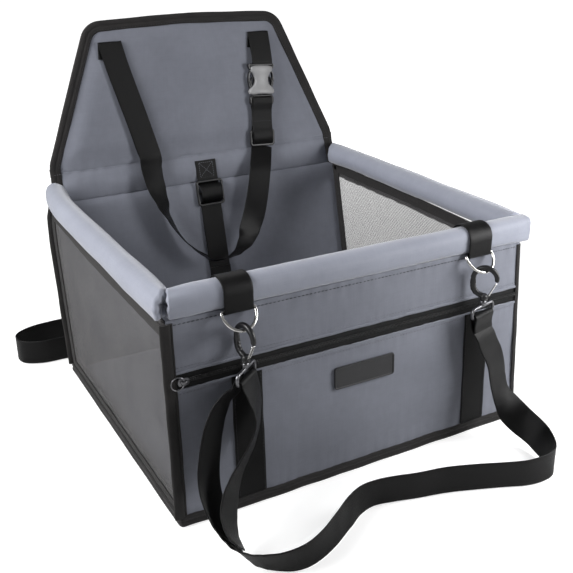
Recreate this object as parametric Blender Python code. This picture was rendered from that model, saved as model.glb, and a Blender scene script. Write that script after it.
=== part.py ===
"""Folding dog car seat: a fabric booster box with a hinged back flap.

Metres, +Z up, +X to the right along the front panel, +Y to the back.
The origin is the centre of the base's underside.
"""
import math

import bmesh
import bpy
from mathutils import Matrix, Vector

# Clearances
GAP = 0.0003
SEAM_GAP = 0.0007

# Box: the rim is the ring of tubes round the top, the back panel leans back
RIM_DEPTH = 0.378
RIM_HEIGHT = 0.220
BASE_WIDTH = 0.403
RIM_INSET = 0.0015
FRONT_OVERHANG = 0.017
FRONT_TOP_PROUD = 0.0085
BACK_LEAN = 0.0524

# Rim tubes and their padded sleeves
TUBE_RADIUS = 0.0105
TUBE_WALL = 0.0018
SLEEVE_RADIUS = 0.0138
ROUND_STEPS = 24
WRAP_STEPS = 6

# Panels
SKIN = 0.0015
BOARD = 0.0035
MESH_THICKNESS = 0.0012
BASE_SKIN = 0.0015
BASE_BOARD = 0.0030
BASE_PAD = 0.0080
BASE_PAD_CROWN = 0.0030
BASE_CORNER = 0.008
BASE_INSET = 0.004

# Edge bindings
BINDING_WIDTH = 0.011
BINDING_THICKNESS = 0.0012
CORNER_FIN = 0.0075
CORNER_FIN_THICKNESS = 0.0030
TOP_TAPE_WIDTH = 0.008
TOP_TAPE_THICKNESS = 0.0008

# Zip across the front pocket
ZIP_DROP = 0.071
ZIP_WIDTH = 0.0155
ZIP_TAPE_THICKNESS = 0.0009
ZIP_CHAIN_WIDTH = 0.0045
ZIP_CHAIN_THICKNESS = 0.0014
ZIP_END_MARGIN = 0.006
SLIDER_LENGTH = 0.0110
SLIDER_WIDTH = 0.0080
SLIDER_THICKNESS = 0.0020
BAIL_HEIGHT = 0.0022
BAIL_THICKNESS = 0.0007
BAIL_LENGTH = 0.0052
PULL_RING_RADIUS = 0.0062
PULL_WIRE = 0.0005

# Front webbing strips and the bare label patch
STRIP_WIDTH = 0.031
STRIP_INSET = 0.066
WEBBING = 0.0015
LABEL_WIDTH = 0.070
LABEL_HEIGHT = 0.0235
LABEL_THICKNESS = 0.0018
LABEL_CORNER = 0.003
LABEL_DROP = 0.040

# Webbing loops and D-rings on the front rim
LOOP_WIDTH = 0.031
RING_WIRE = 0.0016
RING_DROP = 0.0205
RING_CORNER = 0.0022
RING_SIDE_PLAY = 0.0008
RING_TILT_DEG = 40.0
BAR_DROP = 0.0135

# Snap hooks, their wire gates and swivel eyes
HOOK_HALF_WIDTH = 0.0118
HOOK_NECK_DEPTH = 0.0300
HOOK_NOSE_DEPTH = 0.0130
HOOK_CROWN_RADIUS = 0.0026
HOOK_NOSE_RADIUS = 0.0021
HOOK_SPINE_RADIUS = 0.0028
HOOK_BARREL_RADIUS = 0.0044
HOOK_BARREL_LENGTH = 0.0050
STUD_RADIUS = 0.0012
STUD_HEAD_RADIUS = 0.0021
STUD_HEAD_LENGTH = 0.0009
GATE_WIRE = 0.0007
GATE_HALF_SPREAD = 0.0012
EYE_WIDTH = 0.0385
EYE_THICKNESS = 0.0032
EYE_BAR = 0.0028
EYE_SLOT_HEIGHT = 0.0080
EYE_TAB_WIDTH = 0.0110
EYE_TAB_HEIGHT = 0.0045
EYE_CORNER = 0.0030
EYE_HOLE_PLAY = 0.0003
LEFT_HOOK_YAW_DEG = -78.0
RIGHT_HOOK_YAW_DEG = -46.0
LEFT_EYE_YAW_DEG = -17.0
RIGHT_EYE_YAW_DEG = -17.0

# Carry strap
CARRY_WIDTH = 0.031
CARRY_THICKNESS = 0.0016

# Back panel: fold band between two seams, then the flap
SEAM_DROP = 0.0144
HINGE_RISE = 0.0202
BAND_THICKNESS = 0.0022
FLAP_HEIGHT = 0.1748
FLAP_LEAN = 0.0219
FLAP_INSET = 0.0085
FLAP_TAPER = 0.068
FLAP_SIDE_STEP = 0.010
FLAP_CORNER = 0.024

# Dog harness on the flap
HARNESS_WIDTH = 0.029
HARNESS_THICKNESS = 0.0014
HARNESS_INSET = 0.025
SOCKET_INSET = 0.0295
HARNESS_TOP = 0.1465
HARNESS_TURN_DEG = 3.2
ANCHOR_STUB = 0.020
BUCKLE_WIDTH = 0.036
BUCKLE_THICKNESS = 0.0090
BUCKLE_WALL = 0.0016
FEMALE_TOP = 0.105
FEMALE_LENGTH = 0.036
MALE_LENGTH = 0.019
PRONG_LENGTH = 0.018
PRONG_WIDTH = 0.0065
PRONG_THICKNESS = 0.0040
BUCKLE_BAR = 0.0040
BUCKLE_LIFT = 0.0030
BUCKLE_CORNER = 0.0030
GLIDE_LENGTH = 0.022
GLIDE_THICKNESS = 0.0026
GLIDE_BAR = 0.0030
GLIDE_DROP = 0.022

# Safety tether on the back panel
TETHER_WIDTH = 0.029
TETHER_THICKNESS = 0.0014
TETHER_X = 0.006
TETHER_TOP_DROP = 0.0062
TETHER_PATCH_LENGTH = 0.024
TETHER_END_HEIGHT = 0.066
TETHER_SLIDER_DROP = 0.0255
TETHER_SLIDER_LENGTH = 0.033
TETHER_SLIDER_WIDTH = 0.037
TETHER_SLIDER_CLEARANCE = 0.0032
TETHER_HOOK_CLEARANCE = 0.0055
TETHER_CLOSED = 0.030

# Rear strap
REAR_WIDTH = 0.031
REAR_THICKNESS = 0.0016
REAR_CLEARANCE = 0.0015

# Shares
FLAP_CROWN_SHARE = 0.012

# Values worked out from the sizes above
BACK_THICKNESS = SKIN + GAP + BOARD + GAP + SKIN
FRONT_THICKNESS = SKIN + GAP + BOARD
back_slope = BACK_LEAN / RIM_HEIGHT
back_angle = math.atan(back_slope)
front_top = RIM_HEIGHT - SLEEVE_RADIUS - GAP
front_slope = (FRONT_OVERHANG - FRONT_TOP_PROUD) / front_top
front_angle = math.atan(front_slope)
flap_angle = math.asin(FLAP_LEAN / FLAP_HEIGHT)
base_depth = (FRONT_OVERHANG + RIM_DEPTH - back_slope * (RIM_HEIGHT - BINDING_WIDTH)
              + BACK_THICKNESS / math.cos(back_angle))
front_y = -base_depth / 2
rim_y = front_y + FRONT_OVERHANG
half_width = BASE_WIDTH / 2
rim_width = BASE_WIDTH - 2 * RIM_INSET
strip_x = half_width - STRIP_INSET
zip_height = RIM_HEIGHT - ZIP_DROP
label_height = zip_height - LABEL_DROP
seam_height = RIM_HEIGHT - SEAM_DROP
hinge_height = RIM_HEIGHT + HINGE_RISE
flap_low_width = BASE_WIDTH - 2 * FLAP_INSET
flap_top_width = flap_low_width - 2 * FLAP_TAPER
harness_x = flap_top_width / 2 - HARNESS_INSET
socket_x = flap_top_width / 2 - SOCKET_INSET
tether_top = hinge_height - TETHER_TOP_DROP
floor_top = BASE_SKIN + GAP


def back_face_y(height):
    """Place of the back panel's inner face at a height."""
    return rim_y + RIM_DEPTH - back_slope * (RIM_HEIGHT - height)


def front_face_y(height):
    """Place of the front panel's outer face at a height."""
    return front_y + front_slope * height


def clear_scene():
    for obj in list(bpy.data.objects):
        bpy.data.objects.remove(obj, do_unlink=True)
    for block in (bpy.data.meshes, bpy.data.curves, bpy.data.materials):
        for item in list(block):
            block.remove(item)


def make_material(name, colour, roughness, metallic=0.0):
    material = bpy.data.materials.new(name)
    material.use_nodes = True
    shader = material.node_tree.nodes["Principled BSDF"]
    shader.inputs["Base Color"].default_value = (*colour, 1.0)
    shader.inputs["Roughness"].default_value = roughness
    shader.inputs["Metallic"].default_value = metallic
    return material


def make_empty(name, location=(0, 0, 0), rotation=(0, 0, 0), parent=None):
    empty = bpy.data.objects.new(name, None)
    bpy.context.scene.collection.objects.link(empty)
    empty.location = location
    empty.rotation_euler = rotation
    empty.parent = parent
    return empty


def make_object(name, bm, look, parent=None, location=(0, 0, 0), rotation=(0, 0, 0),
                smooth=False):
    """Close a bmesh into a named object with a material of its own."""
    bmesh.ops.recalc_face_normals(bm, faces=bm.faces)
    mesh = bpy.data.meshes.new(name)
    bm.to_mesh(mesh)
    bm.free()
    if smooth:
        mesh.shade_smooth()
        mesh.set_sharp_from_angle(angle=math.radians(38))
    obj = bpy.data.objects.new(name, mesh)
    bpy.context.scene.collection.objects.link(obj)
    mesh.materials.append(make_material(name, *look))
    obj.parent = parent
    obj.location = location
    obj.rotation_euler = rotation
    return obj


def skin_rings(bm, rings, closed):
    """Join rings of vertices into a tube, with flat ends unless it is closed."""
    count = len(rings[0])
    pairs = list(zip(rings, rings[1:]))
    if closed:
        pairs.append((rings[-1], rings[0]))
    for low, high in pairs:
        for i in range(count):
            j = (i + 1) % count
            bm.faces.new((low[i], low[j], high[j], high[i]))
    if not closed:
        bm.faces.new(list(reversed(rings[0])))
        bm.faces.new(rings[-1])


def plate(outline, thickness, holes=(), base=0.0):
    """A flat plate in local XY, its underside at base, with any holes."""
    bm = bmesh.new()
    for loop in (outline, *holes):
        verts = [bm.verts.new((x, y, base)) for x, y in loop]
        for a, b in zip(verts, verts[1:] + verts[:1]):
            bm.edges.new((a, b))
    bmesh.ops.triangle_fill(bm, use_beauty=True, use_dissolve=False, edges=bm.edges[:])
    grown = bmesh.ops.extrude_face_region(bm, geom=bm.faces[:])
    raised = [v for v in grown["geom"] if isinstance(v, bmesh.types.BMVert)]
    bmesh.ops.translate(bm, verts=raised, vec=(0, 0, thickness))
    return bm


def prism_x(outline, low_x, high_x):
    """An outline in YZ carried along X."""
    bm = bmesh.new()
    rings = [[bm.verts.new((x, y, z)) for y, z in outline] for x in (low_x, high_x)]
    skin_rings(bm, rings, closed=False)
    return bm


def block(low, high):
    """A plain box between two corners."""
    return prism_x([(low[1], low[2]), (high[1], low[2]), (high[1], high[2]), (low[1], high[2])],
                   low[0], high[0])


def arc(centre, radius, start_deg, end_deg, steps):
    points = []
    for i in range(steps + 1):
        angle = math.radians(start_deg + (end_deg - start_deg) * i / steps)
        points.append((centre[0] + radius * math.cos(angle), centre[1] + radius * math.sin(angle)))
    return points


def rounded_rectangle(width, height, radius, steps=4, centre=(0, 0)):
    x, y = centre
    w, h = width / 2 - radius, height / 2 - radius
    outline = []
    for sx, sy, start in ((1, 1, 0), (-1, 1, 90), (-1, -1, 180), (1, -1, 270)):
        outline += arc((x + sx * w, y + sy * h), radius, start, start + 90, steps)
    return outline


def rounded_polygon(corners, radii, steps=5):
    """A convex outline whose corners are rounded by their own radii."""
    outline = []
    count = len(corners)
    for i, (corner, radius) in enumerate(zip(corners, radii)):
        here = Vector(corner)
        back = (Vector(corners[i - 1]) - here).normalized()
        ahead = (Vector(corners[(i + 1) % count]) - here).normalized()
        if radius == 0:
            outline.append(tuple(here))
            continue
        half = back.angle(ahead) / 2
        centre = here + (back + ahead).normalized() * radius / math.sin(half)
        start = here + back * radius / math.tan(half) - centre
        end = here + ahead * radius / math.tan(half) - centre
        turn = start.angle_signed(end)
        for k in range(steps + 1):
            outline.append(tuple(centre + Matrix.Rotation(-turn * k / steps, 2) @ start))
    return outline


def between(a, b, low, high, at):
    """The value at a place between low, where it is a, and high, where it is b."""
    return a + (b - a) * ((at - low) / (high - low))


def smooth_curve(points, per_span):
    """Points of a centripetal curve through the given points, which never overshoots."""
    pts = [Vector(p) for p in points]
    pts = [2 * pts[0] - pts[1]] + pts + [2 * pts[-1] - pts[-2]]
    knots = [0.0]
    for a, b in zip(pts, pts[1:]):
        knots.append(knots[-1] + math.sqrt((b - a).length))
    curve = []
    for i in range(1, len(pts) - 2):
        p0, p1, p2, p3 = pts[i - 1:i + 3]
        t0, t1, t2, t3 = knots[i - 1:i + 3]
        for k in range(per_span):
            t = t1 + (t2 - t1) * k / per_span
            a1 = between(p0, p1, t0, t1, t)
            a2 = between(p1, p2, t1, t2, t)
            a3 = between(p2, p3, t2, t3, t)
            b1 = between(a1, a2, t0, t2, t)
            b2 = between(a2, a3, t1, t3, t)
            curve.append(between(b1, b2, t1, t2, t))
    curve.append(pts[-2].copy())
    return curve


def eased_sides(sides, per_span):
    """The way a strap's width lies at each point of its smooth curve."""
    result = []
    for a, b in zip(sides, sides[1:]):
        for k in range(per_span):
            share = k / per_span
            share = share * share * (3 - 2 * share)
            result.append(Vector(a).lerp(Vector(b), share))
    result.append(Vector(sides[-1]))
    return result


def tangents(points):
    result = []
    for i in range(len(points)):
        before = points[max(i - 1, 0)]
        after = points[min(i + 1, len(points) - 1)]
        result.append((after - before).normalized())
    return result


def strap(points, across, width, thickness):
    """A flat webbing solid along points; across gives the way its width lies at each."""
    bm = bmesh.new()
    rings = []
    for point, along, side in zip(points, tangents(points), across):
        side = Vector(side)
        side = (side - along * side.dot(along)).normalized()
        up = along.cross(side)
        corners = []
        for s, u in ((-1, -1), (1, -1), (1, 1), (-1, 1)):
            corners.append(bm.verts.new(point + side * s * width / 2 + up * u * thickness / 2))
        rings.append(corners)
    skin_rings(bm, rings, closed=False)
    return bm


def smooth_strap(points, across, width, thickness, per_span=4):
    """A webbing solid through a few points, with its twist eased from one to the next."""
    return strap(smooth_curve(points, per_span), eased_sides(across, per_span), width, thickness)


def wire(points, radii, sides=8, closed=False, flat=1.0, normal=(0, 1, 0)):
    """A round rod along points in one plane, whose normal is given."""
    bm = bmesh.new()
    rings = []
    normal = Vector(normal)
    count = len(points)
    for i, (point, radius) in enumerate(zip(points, radii)):
        if closed:
            along = points[(i + 1) % count] - points[i - 1]
        else:
            along = points[min(i + 1, count - 1)] - points[max(i - 1, 0)]
        if along.length == 0:
            along = points[i] - points[i - 1]
        out = along.normalized().cross(normal)
        ring = []
        for k in range(sides):
            angle = 2 * math.pi * (k + 0.5) / sides
            ring.append(bm.verts.new(point + out * radius * math.cos(angle)
                                     + normal * radius * flat * math.sin(angle)))
        rings.append(ring)
    skin_rings(bm, rings, closed)
    return bm


def hollow_rod(start, end, outer, inner, low_cut, high_cut, steps=ROUND_STEPS):
    """A pipe from start to end; each cut moves its end by the place in the section."""
    along = (end - start).normalized()
    up = Vector((0, 0, 1))
    side = along.cross(up)
    bm = bmesh.new()
    rings = []
    for origin, radius, cut in ((start, outer, low_cut), (end, outer, high_cut),
                                (end, inner, high_cut), (start, inner, low_cut)):
        ring = []
        for k in range(steps):
            angle = 2 * math.pi * k / steps
            offset = side * radius * math.cos(angle) + up * radius * math.sin(angle)
            ring.append(bm.verts.new(origin + offset + along * cut(offset)))
        rings.append(ring)
    skin_rings(bm, rings, closed=True)
    return bm


# Looks: colour, roughness and metallic value
FABRIC = ((0.175, 0.185, 0.215), 0.85)
FABRIC_DARK = ((0.110, 0.118, 0.138), 0.88)
MESH_LOOK = ((0.105, 0.108, 0.118), 0.8)
BOARD_LOOK = ((0.55, 0.55, 0.53), 0.6)
PVC = ((0.72, 0.72, 0.70), 0.4)
BLACK_WEBBING = ((0.018, 0.018, 0.020), 0.75)
BLACK_TAPE = ((0.022, 0.022, 0.024), 0.7)
BLACK_PLASTIC = ((0.016, 0.016, 0.018), 0.38)
GREY_PLASTIC = ((0.085, 0.088, 0.095), 0.42)
NICKEL = ((0.80, 0.80, 0.82), 0.18, 1.0)
GUNMETAL = ((0.16, 0.16, 0.17), 0.3, 1.0)
RUBBER = ((0.020, 0.020, 0.022), 0.55)


# The floor pad's rounded edge: share of its height, and share of it drawn in
PAD_SHARES = ((0, 0.5), (0.3, 0), (0.6, 0), (0.92, 0.5), (1.0, 2.5))


def build_base():
    """Bottom skin, stiffening board and the thin pad on the cabin floor."""
    outline = rounded_rectangle(BASE_WIDTH, base_depth, BASE_CORNER)
    make_object("base_fabric", plate(outline, BASE_SKIN), FABRIC_DARK)
    front_depth = FRONT_THICKNESS / math.cos(front_angle)
    inside_front = front_face_y(floor_top + BASE_BOARD) + front_depth + BASE_INSET
    inside_back = back_face_y(floor_top) - BASE_INSET
    width = BASE_WIDTH - 2 * (MESH_THICKNESS + BASE_INSET)
    depth = inside_back - inside_front
    centre = (0, (inside_back + inside_front) / 2)
    board = rounded_rectangle(width, depth, BASE_CORNER, centre=centre)
    make_object("base_board", plate(board, BASE_BOARD, base=floor_top), BOARD_LOOK)
    pad_base = floor_top + BASE_BOARD + GAP
    bm = bmesh.new()
    rings = []
    for rise, drawn in PAD_SHARES:
        level = pad_base + (BASE_PAD - BASE_PAD_CROWN) * rise
        inset = BASE_PAD * drawn
        loop = rounded_rectangle(width - 2 * inset, depth - 2 * inset, BASE_CORNER, centre=centre)
        rings.append([bm.verts.new((x, y, level)) for x, y in loop])
    skin_rings(bm, rings, closed=False)
    top = max(bm.faces, key=lambda f: f.calc_center_median().z)
    crown = bmesh.ops.poke(bm, faces=[top])["verts"][0]
    crown.co.z += BASE_PAD_CROWN
    make_object("base_pad", bm, FABRIC, smooth=True)


def panel_span(low, high, x_low, x_high, base, thickness):
    """A rectangle in a panel's own plane."""
    return block((x_low, low, base), (x_high, high, base + thickness))


def build_front():
    """Front panel: board, upper skin, pocket skin, zip, strips and label."""
    plane = make_empty("front_plane", (0, front_y, 0), (math.pi / 2 - front_angle, 0, 0))
    low = floor_top / math.cos(front_angle) + FRONT_THICKNESS * math.tan(front_angle)
    board_top = front_top - GAP
    reach = SLEEVE_RADIUS + GAP
    under_rim = RIM_HEIGHT - math.sqrt(reach ** 2 - (FRONT_TOP_PROUD - SKIN) ** 2)
    skin_top = under_rim / math.cos(front_angle) - GAP
    board_half = half_width - MESH_THICKNESS
    board = panel_span(low, board_top, -board_half, board_half, -FRONT_THICKNESS, BOARD)
    make_object("front_board", board, FABRIC_DARK, plane)
    zip_low = zip_height - ZIP_WIDTH / 2
    zip_high = zip_height + ZIP_WIDTH / 2
    make_object("pocket_panel", panel_span(low, zip_low - GAP, -half_width, half_width, -SKIN, SKIN),
                FABRIC, plane)
    upper = panel_span(zip_high + GAP, skin_top, -half_width, half_width, -SKIN, SKIN)
    make_object("front_upper_panel", upper, FABRIC, plane)
    tape = panel_span(zip_low, zip_high, -half_width, half_width, -SKIN, ZIP_TAPE_THICKNESS)
    make_object("zip_tape", tape, BLACK_TAPE, plane)
    chain_base = ZIP_TAPE_THICKNESS - SKIN + GAP
    chain = panel_span(zip_height - ZIP_CHAIN_WIDTH / 2, zip_height + ZIP_CHAIN_WIDTH / 2,
                       -half_width, half_width, chain_base, ZIP_CHAIN_THICKNESS)
    make_object("zip_chain", chain, BLACK_PLASTIC, plane)
    build_slider(plane, chain_base + ZIP_CHAIN_THICKNESS + GAP)
    for name, sign in (("left", -1), ("right", 1)):
        x = sign * strip_x
        strip = panel_span(low + BINDING_WIDTH, zip_low - GAP, x - STRIP_WIDTH / 2, x + STRIP_WIDTH / 2,
                           GAP, WEBBING)
        make_object(name + "_front_strip", strip, BLACK_WEBBING, plane)
    outline = rounded_rectangle(LABEL_WIDTH, LABEL_HEIGHT, LABEL_CORNER, centre=(0, label_height))
    make_object("label_patch", plate(outline, LABEL_THICKNESS, base=GAP), RUBBER, plane, smooth=True)


def build_slider(plane, base):
    """Zip slider with a bail, and a wire ring that hangs in the bail."""
    x = -half_width + ZIP_END_MARGIN + SLIDER_LENGTH / 2
    origin = make_empty("slider_origin", (x, zip_height, base), parent=plane)
    make_object("zip_slider", slider_body(), BLACK_PLASTIC, origin)
    hole_z = SLIDER_THICKNESS + (BAIL_HEIGHT - BAIL_THICKNESS) / 2
    ring_origin = make_empty("pull_origin", (0, 0, hole_z), parent=origin)
    points = []
    steps = 16
    for k in range(steps):
        angle = 2 * math.pi * k / steps
        points.append(Vector((-PULL_RING_RADIUS + PULL_RING_RADIUS * math.cos(angle),
                              PULL_RING_RADIUS * math.sin(angle), 0)))
    bm = wire(points, [PULL_WIRE] * steps, sides=6, closed=True, normal=(0, 0, 1))
    make_object("zip_pull", bm, NICKEL, ring_origin, smooth=True)


def slider_body():
    """A slider plate with an arched bail standing on it, one closed body."""
    half = BAIL_THICKNESS / 2
    x = BAIL_LENGTH / 2
    wall = BAIL_THICKNESS
    top = SLIDER_THICKNESS + BAIL_HEIGHT
    low = block((-SLIDER_LENGTH / 2, -SLIDER_WIDTH / 2, 0),
                (SLIDER_LENGTH / 2, SLIDER_WIDTH / 2, SLIDER_THICKNESS))
    plate_obj = temporary("slider_plate", low)
    arch = [(-x, SLIDER_THICKNESS - wall), (x, SLIDER_THICKNESS - wall), (x, top), (-x, top)]
    inside = x - wall
    hole = [(-inside, SLIDER_THICKNESS), (inside, SLIDER_THICKNESS), (inside, top - wall),
            (-inside, top - wall)]
    bail = plate(arch, BAIL_THICKNESS, holes=[hole], base=-half)
    bmesh.ops.rotate(bail, verts=bail.verts, matrix=Matrix.Rotation(math.pi / 2, 3, "X"))
    bail_obj = temporary("slider_bail", bail)
    return joined(plate_obj, bail_obj, "UNION")


def temporary(name, bm):
    """A working object that a Boolean uses and removes."""
    bmesh.ops.recalc_face_normals(bm, faces=bm.faces)
    mesh = bpy.data.meshes.new(name)
    bm.to_mesh(mesh)
    bm.free()
    obj = bpy.data.objects.new(name, mesh)
    bpy.context.scene.collection.objects.link(obj)
    return obj


def joined(base, tool, operation):
    """The Boolean of two working objects as a bmesh; both objects are removed."""
    modifier = base.modifiers.new("cut", "BOOLEAN")
    modifier.operation = operation
    modifier.object = tool
    modifier.solver = "EXACT"
    graph = bpy.context.evaluated_depsgraph_get()
    bm = bmesh.new()
    bm.from_mesh(base.evaluated_get(graph).to_mesh())
    for obj in (base, tool):
        bpy.data.objects.remove(obj, do_unlink=True)
    bmesh.ops.dissolve_degenerate(bm, dist=GAP / 100, edges=bm.edges)
    return bm


def build_sides():
    """Mesh side panels with a black tape along the top, inside."""
    top = RIM_HEIGHT - SLEEVE_RADIUS - GAP
    low = floor_top
    inset = (FRONT_THICKNESS + GAP) / math.cos(front_angle)
    margin = GAP / math.cos(back_angle)

    def outline(bottom, upper):
        return [(front_face_y(bottom) + inset, bottom), (back_face_y(bottom) - margin, bottom),
                (back_face_y(upper) - margin, upper), (front_face_y(upper) + inset, upper)]

    for name, sign in (("left", -1), ("right", 1)):
        outer = sign * half_width
        inner = sign * (half_width - MESH_THICKNESS)
        xs = sorted((outer, inner))
        make_object(name + "_mesh_panel", prism_x(outline(low, top), *xs), MESH_LOOK)
        tape = sorted((inner - sign * GAP, inner - sign * (GAP + TOP_TAPE_THICKNESS)))
        make_object(name + "_top_tape", prism_x(outline(top - TOP_TAPE_WIDTH, top), *tape), BLACK_TAPE)


def build_back():
    """Leaning back panel in three layers, with the fold band above it."""
    plane = make_empty("back_plane", (0, back_face_y(0), 0), (math.pi / 2 - back_angle, 0, 0))
    low = (floor_top + BACK_THICKNESS * math.sin(back_angle)) / math.cos(back_angle)
    seam = seam_height / math.cos(back_angle)
    hinge = hinge_height / math.cos(back_angle)
    for name, base, thickness, look in (("back_liner", -SKIN, SKIN, FABRIC),
                                        ("back_board", -SKIN - GAP - BOARD, BOARD, BOARD_LOOK),
                                        ("back_cover", -BACK_THICKNESS, SKIN, FABRIC_DARK)):
        make_object(name, panel_span(low, seam, -half_width, half_width, base, thickness), look, plane)
    band = panel_span(seam + GAP, hinge - GAP, -half_width, half_width, -BAND_THICKNESS, BAND_THICKNESS)
    make_object("fold_band", band, FABRIC, plane)


def flap_outline(inset):
    """The flap's outline, drawn in by inset at its sides and top."""
    low = flap_low_width / 2 - inset
    high = flap_top_width / 2 - inset * 0.8
    top = FLAP_HEIGHT - inset
    step = FLAP_SIDE_STEP - inset * 0.2
    crown = flap_top_width * FLAP_CROWN_SHARE
    corners = [(-low, SEAM_GAP), (low, SEAM_GAP), (low, step), (high, top - crown), (0, top),
               (-high, top - crown), (-low, step)]
    corner = FLAP_CORNER - inset
    return rounded_polygon(corners, [0, 0, 0, corner, 0, corner, 0])


def build_flap():
    """The flap's board between two covers, with a channel of binding round three edges."""
    y = back_face_y(hinge_height)
    plane = make_empty("flap_plane", (0, y, hinge_height), (math.pi / 2 - flap_angle, 0, 0))
    covered = BINDING_THICKNESS + GAP
    inner = flap_outline(covered)
    make_object("flap_front_cover", plate(inner, SKIN, base=-SKIN), FABRIC, plane)
    make_object("flap_board", plate(inner, BOARD, base=-SKIN - GAP - BOARD), BOARD_LOOK, plane)
    make_object("flap_rear_cover", plate(inner, SKIN, base=-BACK_THICKNESS), FABRIC_DARK, plane)
    outer = temporary("binding_outer", plate(flap_outline(0), BACK_THICKNESS + 2 * covered,
                                             base=-BACK_THICKNESS - covered))
    slab = temporary("binding_slab", plate(grown_down(flap_outline(BINDING_THICKNESS)),
                                           BACK_THICKNESS + 2 * GAP, base=-BACK_THICKNESS - GAP))
    channel = temporary("binding_channel", joined(outer, slab, "DIFFERENCE"))
    window = temporary("binding_window", plate(grown_down(flap_outline(BINDING_WIDTH)), BACK_THICKNESS * 4,
                                               base=-BACK_THICKNESS * 3))
    make_object("flap_binding", joined(channel, window, "DIFFERENCE"), BLACK_TAPE, plane, smooth=True)
    return plane


def grown_down(outline):
    """The same outline carried below the hinge line, so that a cut runs out there."""
    lowest = min(y for _, y in outline)
    return [(x, y - FLAP_SIDE_STEP if y <= lowest else y) for x, y in outline]


def build_rim():
    """Three plastic tubes in padded sleeves, mitred at the front corners."""
    left = Vector((-rim_width / 2, rim_y, RIM_HEIGHT))
    right = Vector((rim_width / 2, rim_y, RIM_HEIGHT))
    rim_back = rim_y + RIM_DEPTH

    def flat(offset):
        return 0.0

    def back_cut(offset):
        return back_slope * offset.z - GAP / math.cos(back_angle)

    inner = TUBE_RADIUS + GAP
    front = hollow_rod(left, right, SLEEVE_RADIUS, inner,
                       lambda o: o.y + GAP, lambda o: -o.y - GAP)
    make_object("front_rim_sleeve", front, FABRIC, smooth=True)
    clear = TUBE_RADIUS + SEAM_GAP
    reach = Vector((clear, 0, 0))
    tube = hollow_rod(left + reach, right - reach, TUBE_RADIUS, TUBE_RADIUS - TUBE_WALL, flat, flat)
    make_object("front_rim_tube", tube, PVC, smooth=True)
    tube_back = rim_back - back_slope * TUBE_RADIUS - SEAM_GAP
    for name, sign, corner in (("left", -1, left), ("right", 1, right)):
        end = Vector((corner.x, rim_back, RIM_HEIGHT))
        bm = hollow_rod(corner, end, SLEEVE_RADIUS, inner,
                        lambda o, s=sign: -s * o.x + GAP, back_cut)
        make_object(name + "_rim_sleeve", bm, FABRIC, smooth=True)
        start = Vector((corner.x, rim_y + clear, RIM_HEIGHT))
        stop = Vector((corner.x, tube_back, RIM_HEIGHT))
        tube = hollow_rod(start, stop, TUBE_RADIUS, TUBE_RADIUS - TUBE_WALL, flat, flat)
        make_object(name + "_rim_tube", tube, PVC, smooth=True)


# Section of a corner binding: share of its depth outwards, and of its half thickness
FIN_SHARES = ((0, -1), (0, 1), (0.8, 1), (1, 0.4), (1, -0.4), (0.8, -1))


def build_bindings():
    """Black tape over the seams: a fin up each corner and a band round the base."""
    outer = rounded_rectangle(BASE_WIDTH + 2 * (GAP + BINDING_THICKNESS),
                              base_depth + 2 * (GAP + BINDING_THICKNESS), GAP + BINDING_THICKNESS)
    inner = rounded_rectangle(BASE_WIDTH + 2 * GAP, base_depth + 2 * GAP, GAP)
    make_object("bottom_binding", plate(outer, BINDING_WIDTH, holes=[inner]), BLACK_TAPE)
    low = BINDING_WIDTH + GAP
    top = front_top - GAP
    rear = BACK_THICKNESS / math.cos(back_angle)
    for name, sign, face, way in (("front_left", -1, front_face_y, -1),
                                  ("front_right", 1, front_face_y, -1),
                                  ("back_left", -1, lambda h: back_face_y(h) + rear, 1),
                                  ("back_right", 1, lambda h: back_face_y(h) + rear, 1)):
        bm = bmesh.new()
        rings = []
        for height in (low, top):
            corner = Vector((sign * half_width, face(height), height))
            out = Vector((sign, way, 0)).normalized()
            side = Vector((-out.y, out.x, 0))
            start = corner + out * (CORNER_FIN_THICKNESS / 2 + 2 * GAP)
            ring = []
            for along, across in FIN_SHARES:
                ring.append(bm.verts.new(start + out * CORNER_FIN * along
                                         + side * CORNER_FIN_THICKNESS / 2 * across))
            rings.append(ring)
        skin_rings(bm, rings, closed=False)
        make_object(name + "_binding", bm, BLACK_TAPE)


def bar_place():
    """The D-ring's bar, as an offset in Y and Z from the front tube's axis."""
    ahead = FRONT_TOP_PROUD + WEBBING + 3 * GAP + RING_WIRE
    return -ahead, -BAR_DROP


def build_ring_loops():
    """Webbing loops over the front rim, each folded round the bar of a D-ring."""
    bar_y, bar_z = bar_place()
    round_rim = SLEEVE_RADIUS + GAP + WEBBING / 2
    round_bar = RING_WIRE + GAP + WEBBING / 2
    path = arc((0, 0), round_rim, -62, 186, 18)
    path += arc((bar_y, bar_z), round_bar, 180, 352, 8)
    path = [Vector((0, rim_y + y, RIM_HEIGHT + z)) for y, z in path]
    for name, sign in (("left", -1), ("right", 1)):
        shift = Vector((sign * strip_x, 0, 0))
        points = [p + shift for p in path]
        bm = strap(points, [(1, 0, 0)] * len(points), LOOP_WIDTH, WEBBING)
        make_object(name + "_ring_loop", bm, BLACK_WEBBING, smooth=True)


def d_ring():
    """A D-ring in local XZ, its bar on the X axis and its bow below."""
    half = LOOP_WIDTH / 2 + RING_SIDE_PLAY + RING_WIRE
    points = []
    for x, z in arc((half - RING_CORNER, -RING_CORNER), RING_CORNER, 90, 0, 3):
        points.append(Vector((x, 0, z)))
    bow = 14
    for k in range(1, bow):
        angle = math.pi * k / bow
        drop = RING_CORNER + (RING_DROP - RING_CORNER) * math.sin(angle)
        points.append(Vector((half * math.cos(angle), 0, -drop)))
    for x, z in arc((-half + RING_CORNER, -RING_CORNER), RING_CORNER, 180, 90, 3):
        points.append(Vector((x, 0, z)))
    return wire(points, [RING_WIRE] * len(points), sides=8, closed=True)


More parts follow.
